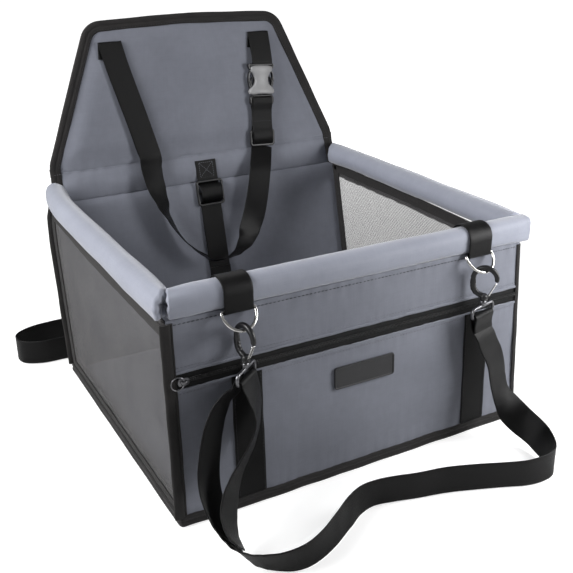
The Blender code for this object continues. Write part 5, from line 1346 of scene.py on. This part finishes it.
def make_flap_stitches():
    """The seam that holds the flap's binding, on both faces."""
    seam = flap_outline(0.0098)
    seam = np.roll(seam, -np.argmin(np.where(seam[:, 0] > 0, seam[:, 1], 9)), 0)
    seam = seam[seam[:, 1] > 0.004]
    rows = [(on_flap(seam[:, 0], seam[:, 1], off), out, {"radius": 0.00026})
            for off, out in ((-0.0007, flap.out), (0.0007 - BACK_THICKNESS, -flap.out))]
    stitching("flap_stitches", rows, "flap", DARK_THREAD)


# Rings, hooks, eyes

RING_PIVOT_Y, RING_PIVOT_Z = -0.17176, 0.2065
RING_TILT = math.radians(40)
RING_WIRE = 0.0016
LOOP_WIDTH, LOOP_THICKNESS = 0.0285, 0.0015
CROWN = (-0.18494, 0.1953)
HOOK_YAW = {"left": math.radians(-78), "right": math.radians(-46)}
EYE_YAW = {"left": math.radians(38), "right": math.radians(15)}
# The eye below the hook's crown: its drop, wire, and the depths of its shoulder and slot
EYE_DROP = 0.0353
EYE_WIRE = 0.0028
EYE_SHOULDER = 0.0045
SLOT_DEPTH = 0.0080
BAR_RADIUS = math.hypot(0.0032, EYE_WIRE) / 2 / math.cos(math.pi / 12)


def local_plane(x, y, z, yaw=0.0):
    """Upright place: right is turned by yaw, up is Z, outwards faces the front."""
    right = np.array((math.cos(yaw), math.sin(yaw), 0.0))
    return Plane((x, y, z), (0, 0, 1), np.cross(right, (0, 0, 1.0)))


def make_ring_loops():
    """The webbing loops over the rim and the D-rings that hang in them."""
    bar_y, bar_z = RING_PIVOT_Y - RIM_Y, RING_PIVOT_Z - RIM_HEIGHT
    round_rim = SLEEVE_RADIUS + GAP + 0.0012
    round_bar = RING_WIRE + GAP + LOOP_THICKNESS / 2
    path = arc((0, 0), round_rim, -62, 186, 34) + arc((bar_y, bar_z), round_bar, 180, 352, 14)
    for index, (name, sign) in enumerate((("left", -1), ("right", 1))):
        points = np.array([(sign * STRIP_X, RIM_Y + y, RIM_HEIGHT + z) for y, z in path])
        drift = 0.0004 * swell(points[:, 2], points[:, 1], 0.03, 141 + index)
        points[:, 0] += drift
        rings = web_rings(points, (1.0, 0, 0), LOOP_WIDTH, LOOP_THICKNESS)
        finish_piece(loft(name + "_rim_loop", rings), "box", WEBBING, [name + "_ring_loop"])
        ring = np.array(d_ring_line())
        tilt = np.stack([ring[:, 0] + sign * STRIP_X, RING_PIVOT_Y + ring[:, 1] * math.sin(RING_TILT),
                         RING_PIVOT_Z + ring[:, 1] * math.cos(RING_TILT)], 1)
        normal = np.array((0, -math.cos(RING_TILT), math.sin(RING_TILT)))
        rings = sweep(tilt, round_section(RING_WIRE, 16), normal, closed=True)
        finish_piece(loft(name + "_ring", rings, closed_path=True), name + "_ring", NICKEL,
                     [name + "_d_ring"])


def d_ring_line():
    """Centre line of a D-ring: its bar above, its bow below."""
    half, corner, drop = LOOP_WIDTH / 2 + 0.0006 + RING_WIRE, 0.0022, 0.0205
    points = [(-half + corner + (2 * half - 2 * corner) * k / 12, 0) for k in range(12)]
    points += arc((half - corner, -corner), corner, 90, 0, 5)
    points += [(half * math.cos(t), -corner - (drop - corner) * math.sin(t))
               for t in np.linspace(0, math.pi, 34)[1:-1]]
    points += arc((-half + corner, -corner), corner, 180, 90, 5)[:-1]
    return points


def hook_line():
    """The hook's centre line and radii in its own plane, from its nose to its neck."""
    half = 0.0118
    points = [(half - 0.0002, -0.0138), (half, -0.0130)]
    radii = [0.0019, 0.0022]
    steps = 30
    for k in range(steps + 1):
        t = math.pi * k / steps
        points.append((half * math.cos(t), -half + half * math.sin(t)))
        radii.append(0.0024 + 0.0004 * math.sin(t))
    spine = ((-1.0, -0.0165), (-0.97, -0.0200), (-0.90, -0.0235), (-0.72, -0.0266), (-0.42, -0.0290),
             (-0.10, -0.0303))
    for across, z in spine:
        points.append((half * across, z))
        radii.append(0.0028)
    curve = smooth_curve([np.array((x, 0, z)) for x, z in points], 4)
    thick = np.interp(np.linspace(0, len(radii) - 1, len(curve)), np.arange(len(radii)), radii)
    return curve[:, (0, 2)], thick


def fuller_circle(sides):
    """A circle of radius 1 with fuller shoulders."""
    ring = round_section(1.0, sides)
    return np.sign(ring) * np.abs(ring) ** 0.8


def turned_parts(plane, profile, deep=1.0):
    """A form turned round a plane's up direction, from (radius, height), its depth drawn in by a share."""
    angles = turns_of(24)
    return loft_parts([plane.at(r * np.cos(angles), z, r * deep * np.sin(angles)) for r, z in profile])


def hook_body(plane, with_stud=True):
    """A moulded snap hook: oval bow, finger ribs on its spine, collar and swivel barrel."""
    line, thick = hook_line()
    sections = []
    for i, radius in enumerate(thick):
        x, z = line[i]
        rib = 0.0
        if x < -0.004 and -0.027 < z < -0.008:
            rib = 0.00055 * max(0.0, math.sin((z + 0.008) / 0.0032 * 2 * math.pi)) ** 1.5
        sections.append(fuller_circle(20) * (radius + rib, radius * 0.95))
    points = plane.at(line[:, 0], line[:, 1])
    parts = [loft_parts(sweep(points, np.array(sections), plane.out))]
    profile = [(0.0030, -0.0285), (0.0040, -0.0296), (0.0044, -0.0306), (0.0044, -0.0322), (0.0040, -0.0326),
               (0.0040, -0.0332), (0.0044, -0.0336), (0.0044, -0.0345), (0.0040, -0.0350)]
    if with_stud:
        profile += [(0.0012, -0.0351), (0.0012, -0.0425), (0.0021, -0.0429), (0.0021, -0.0436),
                    (0.0014, -0.0440)]
    parts.append(turned_parts(plane, profile))
    return parts


def gate_parts(plane):
    """The sprung wire gate: a staple of thin wire from the foot to the nose."""
    foot, tip = np.array((0.00496, -0.02956)), np.array((0.01138, -0.0160))
    spread = 0.0012
    run = tip - foot
    bend = unit(run) * spread
    end = tip - bend
    places = [(foot, -spread), (foot + (end - foot) * 0.5, -spread), (end, -spread)]
    for k in range(1, 8):
        t = math.pi * k / 8
        places.append((end + bend * math.sin(t), -spread * math.cos(t)))
    places += [(end, spread), (foot + (end - foot) * 0.5, spread), (foot, spread)]
    points = smooth_curve([plane.at(p[0], p[1], off) for p, off in places], 3)
    normal = plane.right * run[1] - plane.up * run[0]
    return [loft_parts(sweep(points, round_section(0.0007, 10), normal))]


def eye_parts(plane):
    """A cast eye: a rounded slot for the webbing, shoulders and a collar above."""
    wire, height = EYE_WIRE, 0.0136
    centre = (0, -EYE_SHOULDER - height / 2)
    path = even_ring(rounded_outline(0.0385 - wire, height - wire, 0.0040, 8, centre), 0.002)
    swellings = 1 + 0.35 * np.exp(-(path[:, 0] / 0.007) ** 2) * (path[:, 1] > centre[1])
    halves = np.stack([swellings * wire / 2, np.full(len(path), 0.0016)], 1)
    sections = fuller_circle(14)[None] * halves[:, None]
    parts = [loft_parts(sweep(plane.at(path[:, 0], path[:, 1]), sections, plane.out, closed=True), True)]
    profile = [(0.0030, -0.0052), (0.0042, -0.0042), (0.0045, -0.0026), (0.0043, -0.0008), (0.0036, -0.0001),
               (0.0016, -0.0001)]
    parts.append(turned_parts(plane, profile, 0.75))
    return parts


def make_hooks():
    """The two snap hooks with their gates and swivel eyes."""
    for name, sign in (("left", -1), ("right", 1)):
        hook_plane = local_plane(sign * STRIP_X, CROWN[0], CROWN[1], HOOK_YAW[name])
        eye_plane = local_plane(sign * STRIP_X, CROWN[0], CROWN[1] - EYE_DROP, EYE_YAW[name])
        for label, parts, body, material, node in (
                ("_snap_hook", hook_body(hook_plane), "_clip", BLACK_PLASTIC, "_hook"),
                ("_hook_gate", gate_parts(hook_plane), "_clip_gate", NICKEL, "_gate"),
                ("_hook_eye", eye_parts(eye_plane), "_clip_eye", GUNMETAL, "_eye")):
            assembly(name + label, parts, name + body, material, [name + node], sharp=40)


def eye_bar(name, sign):
    """Middle and direction of the bar of an eye, which a strap folds over."""
    yaw = EYE_YAW[name]
    drop = EYE_DROP + EYE_SHOULDER + EYE_WIRE + SLOT_DEPTH + EYE_WIRE / 2
    centre = np.array((sign * STRIP_X, CROWN[0], CROWN[1] - drop))
    return centre, np.array((math.cos(yaw), math.sin(yaw), 0.0))


def bar_wrap(middle, way, reach):
    """Points of a strap over a bar: up one side, over, and down the other."""
    ahead = np.cross(way, (0, 0, 1.0))
    turns = np.linspace(0, math.pi, 11)
    return [middle + ahead * reach * math.cos(t) + np.array((0, 0, reach * math.sin(t))) for t in turns]


def make_strap_ends():
    """The carry strap's two ends, each folded through its eye onto a sewn tail; the stitches are not drawn.
    """
    reach = BAR_RADIUS + GAP + CARRY_THICKNESS / 2
    closing = reach - (CARRY_THICKNESS + GAP) / 2
    down = np.array((0, 0, -1.0))
    ends = []
    middle, way = eye_bar("right", 1)
    wrap = bar_wrap(middle, way, reach)
    ahead = np.cross(way, (0, 0, 1.0))
    tail = wrap[0] + down * 0.0100 - ahead * closing * 0.4
    lead = wrap[-1] + down * 0.0110 + ahead * closing * 0.7
    points = [tail + down * 0.0052 + ahead * 0.0010, tail] + wrap
    points += [lead, (0.1385, -0.1893, 0.1215), (0.1425, -0.1915, 0.1105), (0.1478, -0.1942, 0.0985),
               (0.1508, -0.1963, 0.0870)]
    sides = [way] * (len(points) - 4) + [(0.95, 0.28, 0.06), (0.955, 0.27, 0.08), (0.955, 0.27, 0.03),
                                         (0.95, 0.28, -0.05)]
    over = CARRY[0] + (CARRY[1] - CARRY[0]) * 0.2
    ends.append(("right", points + [CARRY[0, :3], over[:3]], sides + [CARRY[0, 3:], over[3:]]))
    middle, way = eye_bar("left", -1)
    wrap = bar_wrap(middle, way, reach)[::-1][2:]
    over = CARRY[-1] + (CARRY[-2] - CARRY[-1]) * 0.2
    ends.append(("left", [over[:3], CARRY[-1, :3]] + list(LEFT_RISE[:, :3]) + wrap + list(LEFT_FALL[:, :3]),
                 [over[3:], CARRY[-1, 3:]] + list(LEFT_RISE[:, 3:]) + [-way] * len(wrap)
                 + list(LEFT_FALL[:, 3:])))
    for name, points, sides in ends:
        sign = -1 if name == "left" else 1
        rings = web_rings(smooth_curve(points, 5), eased(sides, 5), CARRY_WIDTH - 0.0004, CARRY_THICKNESS)
        x = sign * STRIP_X
        finish_piece(loft(name + "_end_webbing", rings),
                     ("box", name + "_clip_eye", (x, -0.200, 0.070), (x, -0.186, 0.138)), WEBBING,
                     [name + "_strap_end"])


# Zip slider and pull

def make_zip_slider():
    """A die-cast slider with a bridge, and the round wire pull that hangs in it."""
    plane = front.turned(-0.190, ZIP_HEIGHT, 0.0, 0.0)
    body = [(-0.0055, 0.0020), (-0.0040, 0.0038), (0.0010, 0.0040), (0.0046, 0.0030), (0.0055, 0.0016)]
    outline = np.array(body + [(x, -y) for x, y in reversed(body)])[::-1]
    parts = [stack(plane, outline, plate_levels(0.0008, 0.0030, 0.0005))]
    parts.append(stack(plane, outline * 0.92, plate_levels(-0.0002, 0.0006, 0.0002)))
    bail = ((-0.0030, 0.0026), (-0.0026, 0.0044), (-0.0010, 0.0051), (0.0012, 0.0051), (0.0027, 0.0044),
            (0.0031, 0.0026))
    line = smooth_curve([plane.at(x, 0, off) for x, off in bail], 4)
    parts.append(loft_parts(sweep(line, pillow_section(0.0009, 0.0022, 0.7, 12), plane.up)))
    assembly("zip_slider_cast", parts, "slider", GUNMETAL, ["zip_slider"], sharp=40)
    ring = np.array((-0.19, -0.17426, 0.14904))
    turns = turns_of(40)
    points = ring + 0.0062 * ((np.cos(turns) - 1)[:, None] * front.right + np.sin(turns)[:, None] * front.up)
    rings = sweep(points, round_section(0.00055, 10), front.out, closed=True)
    finish_piece(loft("zip_pull_ring", rings, closed_path=True), "pull_ring", GUNMETAL, ["zip_pull"])


# Harness and buckle

HARNESS_WIDTH, HARNESS_THICKNESS = 0.029, 0.0014
# Places on the left harness strap: share of its height, and how far it has moved inward
LEFT_STRAP_SHARES = ((0.82, 0.05), (0.6, 0.13), (0.36, 0.22), (0.1, 0.31))
# Middle of the hanging stretch from left to right, and the way that its width points there
HARNESS_SAG = ((-0.0690, 0.2095, 0.2360), (-0.0685, 0.2000, 0.2161), (-0.0634, 0.1920, 0.1926),
               (-0.0586, 0.1870, 0.1745), (-0.0454, 0.1780, 0.1471), (-0.0352, 0.1710, 0.1348),
               (-0.0222, 0.1650, 0.1238), (-0.0115, 0.1620, 0.1165), (0.0083, 0.1620, 0.1140),
               (0.0254, 0.1640, 0.1192), (0.0394, 0.1680, 0.1307), (0.0477, 0.1720, 0.1461),
               (0.0579, 0.1780, 0.1648), (0.0677, 0.1860, 0.1886), (0.0770, 0.1960, 0.2162))
HARNESS_ACROSS = (
    (-0.99, -0.10, 0.05), (-0.94, -0.25, 0.12), (-0.78, -0.55, 0.24), (-0.52, -0.78, 0.32),
    (-0.40, -0.84, 0.36), (-0.38, -0.83, 0.42), (-0.38, -0.79, 0.50), (-0.38, -0.80, 0.46),
    (-0.36, -0.85, 0.36), (-0.10, -0.97, 0.20), (0.30, -0.92, 0.06), (0.70, -0.68, 0.0),
    (0.90, -0.38, 0.0), (0.96, -0.22, 0.0), (0.99, -0.12, 0.0),
)
HARNESS_TURN = math.radians(3.2)
SOCKET_LENGTH, SOCKET_WIDTH, SOCKET_THICKNESS = 0.036, 0.036, 0.0090
BUCKLE_MIDDLE = 0.0030 + SOCKET_THICKNESS / 2
SOCKET_PLANE = flap.turned(SOCKET_X, SOCKET_TOP, BUCKLE_MIDDLE, -HARNESS_TURN)
PRONG_PLANE = SOCKET_PLANE.turned(0, -SOCKET_LENGTH - GAP, 0, 0)
GLIDE_MIDDLE = -0.0555


def left_strap_place(share, inward):
    """A place on the left harness strap: its share of the height, and how far it has moved inward."""
    lift, doubled = GAP + HARNESS_THICKNESS / 2, HARNESS_THICKNESS + GAP
    away = doubled * (1.4 + (1 - share) * 3.2)
    return flap.at(-HARNESS_X * (1 - inward), HARNESS_TOP * share, lift + away)


def folded_top(x, start, askew=0.0):
    """Sewn stub of a strap that folds over at its top, in the flap's plane."""
    lift, fold = GAP + HARNESS_THICKNESS / 2, (HARNESS_THICKNESS + GAP) / 2
    lift += 0.0007
    points = [flap.at(x - askew, start, lift), flap.at(x, HARNESS_TOP - fold, lift)]
    for k in range(1, 10):
        t = -math.pi / 2 + math.pi * k / 10
        points.append(flap.at(x, HARNESS_TOP - fold + fold * math.cos(t), lift + fold + fold * math.sin(t)))
    points.append(flap.at(x, HARNESS_TOP - fold, lift + 2 * fold))
    return points


def make_harness():
    """Harness straps sewn to the flap, the left one loose, the right one with the buckle."""
    start = HARNESS_TOP - 0.020
    side = np.array((1.0, 0, 0))
    points = folded_top(-HARNESS_X, start, 0.0016) + [left_strap_place(*shares)
                                                      for shares in LEFT_STRAP_SHARES]
    curve = smooth_curve(points, 6)
    rings = web_rings(curve, side, HARNESS_WIDTH, HARNESS_THICKNESS, 0.0003)
    finish_piece(loft("harness_left_webbing", rings), "flap", WEBBING, ["harness_left_strap"])
    points = folded_top(0.0990, start, 0.0026)
    foot = flap.at(SOCKET_X + 0.0022, SOCKET_TOP - 0.001, BUCKLE_MIDDLE + 0.0006)
    up = flap.right * math.sin(HARNESS_TURN) + flap.up * math.cos(HARNESS_TURN)
    points += [foot + up * 0.009, foot]
    turned = flap.right * math.cos(HARNESS_TURN) - flap.up * math.sin(HARNESS_TURN)
    sides = [side] * (len(points) - 2) + [turned] * 2
    rings = web_rings(smooth_curve(points, 6), eased(sides, 6), HARNESS_WIDTH, HARNESS_THICKNESS, 0.0003)
    finish_piece(loft("harness_right_webbing", rings), "flap", WEBBING, ["harness_right_strap"])
    rows = box_stitch(flap.turned(-HARNESS_X, HARNESS_TOP - 0.010, 0, 0), 0.017, GAP + HARNESS_THICKNESS)
    stitching("harness_stitches", rows, "flap", DARK_THREAD)
    make_socket()
    make_prongs()


def make_socket():
    """The side-release buckle's socket: a grey shell over a black frame with side arms."""
    plane = SOCKET_PLANE
    right = [(0.0145, 0.0), (0.0156, -0.0020), (0.0148, -0.0060), (0.0112, -0.0105), (0.0094, -0.0165),
             (0.0108, -0.0225), (0.0160, -0.0275), (0.0180, -0.0315), (0.0172, -0.0345), (0.0120, -0.0358),
             (0.0050, -0.0352)]
    outline = smooth_ring(right)
    shell_levels = [(0.0007, -0.0022), (0, -0.0013), (0, 0.0020), (0.0003, 0.0031), (0.0009, 0.0039),
                    (0.0016, 0.0043)]
    finish_piece(solid("buckle_socket_shell", *stack(plane, outline, shell_levels), sharp=45), "flap",
                 GREY_PLASTIC, ["buckle_socket"])
    parts = [stack(plane, smooth_ring([(x * 0.97, y) for x, y in right]),
                   plate_levels(-SOCKET_THICKNESS / 2, -0.0024, 0.0006))]
    for sign in (-1, 1):
        arm = ((0.0135, -0.0040), (0.0166, -0.0085), (0.0176, -0.0150), (0.0172, -0.0220), (0.0150, -0.0290))
        arm = smooth_curve([plane.at(sign * x, y, -0.0012) for x, y in arm], 5)
        parts.append(loft_parts(sweep(arm, pillow_section(0.0018, 0.0050, 0.5, 12), plane.out)))
        ear = smooth_curve([plane.at(sign * x, y, -0.0004) for x, y in
                            ((0.0168, 0.0030), (0.0176, 0.0012), (0.0168, -0.0022), (0.0140, -0.0040))], 4)
        parts.append(loft_parts(sweep(ear, pillow_section(0.0018, 0.0056, 0.5, 12), plane.out)))
    bar = np.linspace(-0.0168, 0.0168, 12)
    section = pillow_section(0.0034, 0.0044, 0.6, 14)
    parts.append(loft_parts(sweep(plane.at(bar, 0.0022, -0.0004), section, plane.out)))
    assembly("buckle_socket_frame", parts, "flap", BLACK_PLASTIC)


def make_prongs():
    """The prong half, which slides out of the socket, and the slider that adjusts its strap."""
    prong = PRONG_PLANE
    top, low = -0.0010, -0.0125
    outline = rounded_outline(SOCKET_WIDTH - 0.0042, top - low, 0.0042, 6, (0, (top + low) / 2))
    frame_rings = sweep(prong.at(*even_ring(outline, 0.002).T), pillow_section(0.0034, 0.0046, 0.6, 14),
                        prong.out, closed=True)
    parts = [loft_parts(frame_rings, True)]
    for sign in (-1, 1):
        arm = ((0.0130, -0.0020), (0.0134, 0.0060), (0.0150, 0.0130), (0.0158, 0.0180), (0.0120, 0.0225))
        arm = smooth_curve([prong.at(sign * x, y) for x, y in arm], 5)
        swell_of = np.interp(np.arange(len(arm)), (0, 8, 15, 20), (1.0, 0.9, 1.3, 0.5))
        section = pillow_section(0.0034, 0.0036, 0.6, 14)[None] * swell_of[:, None, None]
        parts.append(loft_parts(sweep(arm, section, prong.out)))
    guide = prong.at(np.zeros(8), np.linspace(-0.002, 0.0160, 8))
    parts.append(loft_parts(sweep(guide, pillow_section(0.0030, 0.0030, 0.6, 12), prong.out)))
    assembly("buckle_prong_half", parts, "buckle_half", BLACK_PLASTIC, ["buckle_prongs"])
    slider = glide_parts(prong, 0, GLIDE_MIDDLE, SOCKET_WIDTH, 0.022)
    assembly("harness_slider", slider, "buckle_half", BLACK_PLASTIC, ["harness_glide"])


def smooth_ring(right):
    """A closed smooth outline from its right half, mirrored."""
    points = [np.array((x, y)) for x, y in right] + [np.array((-x, y)) for x, y in reversed(right)]
    count = len(points)
    curve = smooth_curve([points[k % count] for k in range(-1, count + 2)], 4)
    return curve[4:-5][::-1]


def glide_parts(plane, x, centre, width, length, thick=0.0026):
    """A three-bar slider: a rounded frame with a ribbed middle bar."""
    bar = 0.0030
    outline = rounded_outline(width - bar, length - bar, 0.0028, 6, (x, centre))
    parts = [loft_parts(sweep(plane.at(*even_ring(outline, 0.002).T),
                              pillow_section(bar, thick + 0.0002, 0.55, 14), plane.out, closed=True), True)]
    xs = x + np.linspace(-width / 2 + bar / 2, width / 2 - bar / 2, 60)
    rib = 1 + 0.10 * np.sin(np.arange(60) * 1.4)
    section = pillow_section(bar, thick, 0.55, 14)[None] * np.stack([rib, rib], 1)[:, None]
    parts.append(loft_parts(sweep(plane.at(xs, centre), section, plane.out)))
    return parts


def make_harness_loop():
    """Webbing through the prong half and its slider, then the stretch that hangs in the box."""
    buckle = PRONG_PLANE
    bar = -0.0045
    reach = 0.0046 / 2 + GAP + HARNESS_THICKNESS / 2
    closed = (HARNESS_THICKNESS + GAP) / 2
    over = 0.0026 / 2 + GAP + HARNESS_THICKNESS / 2
    turns = np.linspace(0, math.pi, 9)
    front_run = [(GLIDE_MIDDLE - 0.0085, -0.0002), (GLIDE_MIDDLE - 0.0055, over * 0.5),
                 (GLIDE_MIDDLE - 0.0015, over + 0.0008), (GLIDE_MIDDLE + 0.0060, over + 0.0012),
                 (GLIDE_MIDDLE + 0.0125, over * 0.8), (GLIDE_MIDDLE + 0.0185, closed * 1.1),
                 (bar - 0.016, closed), (bar - 0.005, reach)]
    wrap = [(bar + reach * math.sin(t), reach * math.cos(t)) for t in turns]
    local = front_run + wrap + [(bar - 0.005, -reach), (bar - 0.016, -closed),
                                (GLIDE_MIDDLE + 0.018, -closed), (GLIDE_MIDDLE + 0.010, -over),
                                (GLIDE_MIDDLE - 0.010, -over)]
    held = [buckle.at(0, y, off) for y, off in local]
    sag = [np.array(p) for p in reversed(HARNESS_SAG)]
    across = [np.array(p) for p in reversed(HARNESS_ACROSS)]
    way = buckle.right
    upper = held + [sag[0]]
    curve = smooth_curve(upper, 6)
    sides = eased([way] * len(held) + [across[0]], 6)
    stop = len(curve) - 6
    rings = web_rings(curve[:stop], sides[:stop], HARNESS_WIDTH, HARNESS_THICKNESS)
    finish_piece(loft("harness_upper_webbing", rings), "buckle_half", WEBBING)
    across_row = seam_on(buckle, -0.0125, bar - 0.0290, 0.0125, bar - 0.0290, closed + 0.0010, radius=0.00028)
    stitching("harness_end_stitches", [across_row], "buckle_half", DARK_THREAD)
    end = left_strap_place(*LEFT_STRAP_SHARES[-1])
    run = unit(end - left_strap_place(*LEFT_STRAP_SHARES[-2]))
    tail = [end + run * HARNESS_WIDTH / 3, end - run * 0.004]
    lower = [held[-1]] + sag + tail
    sides = [way] + across + [np.array((-1.0, 0, 0))] * 2
    curve = smooth_curve(lower, 8)
    twist = eased(sides, 8)
    rings = web_rings(curve, twist, HARNESS_WIDTH - 0.0004, HARNESS_THICKNESS * 0.9, 0.0002)
    finish_piece(loft("harness_hanging_webbing", rings),
                 ("box", "flap", (0, 0.2200, 0.2290), (0, 0.2236, 0.2425)), WEBBING, ["harness_loop"])


# Tether

TETHER_X = 0.0080
TETHER_WIDTH, TETHER_THICKNESS = 0.029, 0.0014
TETHER_TOP = HINGE[2] - 0.0082


def make_tether():
    """Safety tether: sewn patch, slider, strap down the back, and its hook."""
    x, width, thick = TETHER_X, TETHER_WIDTH, TETHER_THICKNESS
    lift = GAP + thick / 2
    top = TETHER_TOP * BACK_SLANT
    centre = (TETHER_TOP - 0.0250) * BACK_SLANT - 0.033 / 2
    slider_off = 0.0032 + thick + 0.0026 / 2
    parts = glide_parts(Plane(back.at(0, 0, slider_off), back.up, back.out), x, centre, 0.0375, 0.0335,
                        0.0040)
    assembly("tether_slider_frame", parts, "box", BLACK_PLASTIC, ["tether_slider"])
    threaded = [back.at(x, centre + y, slider_off + off) for y, off in (
        (0.0190, -0.0030), (0.0125, -0.0022), (0.0105, 0.0012), (0.0080, 0.0042), (0.0020, 0.0056),
        (-0.0050, 0.0050), (-0.0095, 0.0022), (-0.0118, -0.0015), (-0.0150, -0.0034), (-0.0210, -0.0030))]
    around = BAR_RADIUS + GAP + thick / 2
    end, hook_off, closed = 0.066 * BACK_SLANT, 0.0055, (thick + GAP) / 2
    points = [back.at(x, top, lift + 0.0016), back.at(x, top - 0.012, lift + 0.0016)] + threaded
    steps = ((0.030, closed), (0.015, closed), (around * 1.6, around * 0.9))
    points += [back.at(x, end + rise, hook_off - away) for rise, away in steps]
    for k in range(9):
        t = math.pi * k / 8
        points.append(back.at(x, end - around * math.sin(t), hook_off - around * math.cos(t)))
    points += [back.at(x, end + rise, hook_off + away) for rise, away in reversed(steps)]
    curve = smooth_curve(points, 5)
    rings = web_rings(curve, (1.0, 0, 0), width, thick, 0.0002)
    finish_piece(loft("tether_webbing", rings), "box", WEBBING, ["tether_strap"])
    rows = box_stitch(back.turned(x, top - 0.0125, 0, 0), 0.019, lift + 0.0016 + thick / 2 + 0.0001)
    stitching("tether_stitches", rows, "box", SLATE_THREAD)
    # The hook hangs head down from its eye, flat against the back
    reach = EYE_WIRE * 1.5 + SLOT_DEPTH
    drop = 0.0350 + reach
    crown, eye = (Plane(back.at(x, end - below, hook_off), -back.up, back.out)
                  for below in (drop, EYE_SHOULDER + reach))
    crown.right = eye.right = np.array((1.0, 0, 0))
    parts = hook_body(crown, with_stud=False) + eye_parts(eye)
    assembly("tether_snap_hook", parts, "tether_clip", BLACK_PLASTIC, ["tether_hook"], sharp=40)
    assembly("tether_hook_gate", gate_parts(crown), "tether_clip_gate", NICKEL, ["tether_gate"], sharp=40)


# Everything

# The pieces at the two upright edges that stand a little off true in the photograph
RIGHT_FRONT = ("pocket_cloth", "upper_front_cloth", "front_lining", "zip_tape_cloth", "upper_zip_welt",
               "lower_zip_welt", "zip_coil", "zip_stitches", "front_dark_stitches", "right_mesh",
               "right_upper_tape", "right_outer_upper_tape", "right_fore_tape", "right_outer_fore_tape",
               "right_side_stitches", "front_right_corner_tape")
LEFT_REAR = ("left_mesh", "left_upper_tape", "left_outer_upper_tape", "left_rear_tape",
             "left_outer_rear_tape", "left_side_stitches", "back_left_corner_tape", "back_lining",
             "rear_cover_cloth", "back_seam_stitches")

set_camera()
set_stage()
make_carry_strap()
make_rear_strap()
make_front()
make_sides()
make_back()
make_base()
make_rim()
make_bindings()
make_flap()
make_ring_loops()
make_hooks()
make_strap_ends()
make_zip_slider()
make_harness()
make_harness_loop()
make_tether()
draw_in(RIGHT_FRONT, 1, 0.06, -0.16, (0, 0.2), (0, 0.0065))
draw_in(LEFT_REAR, -1, 0.04, 0.20, (0, 0.06, 0.12, 0.16, 0.18, 0.190, 0.206),
        (0, 0.0006, 0.0016, 0.0022, 0.0030, 0.0041, 0.0095))
make_boards()
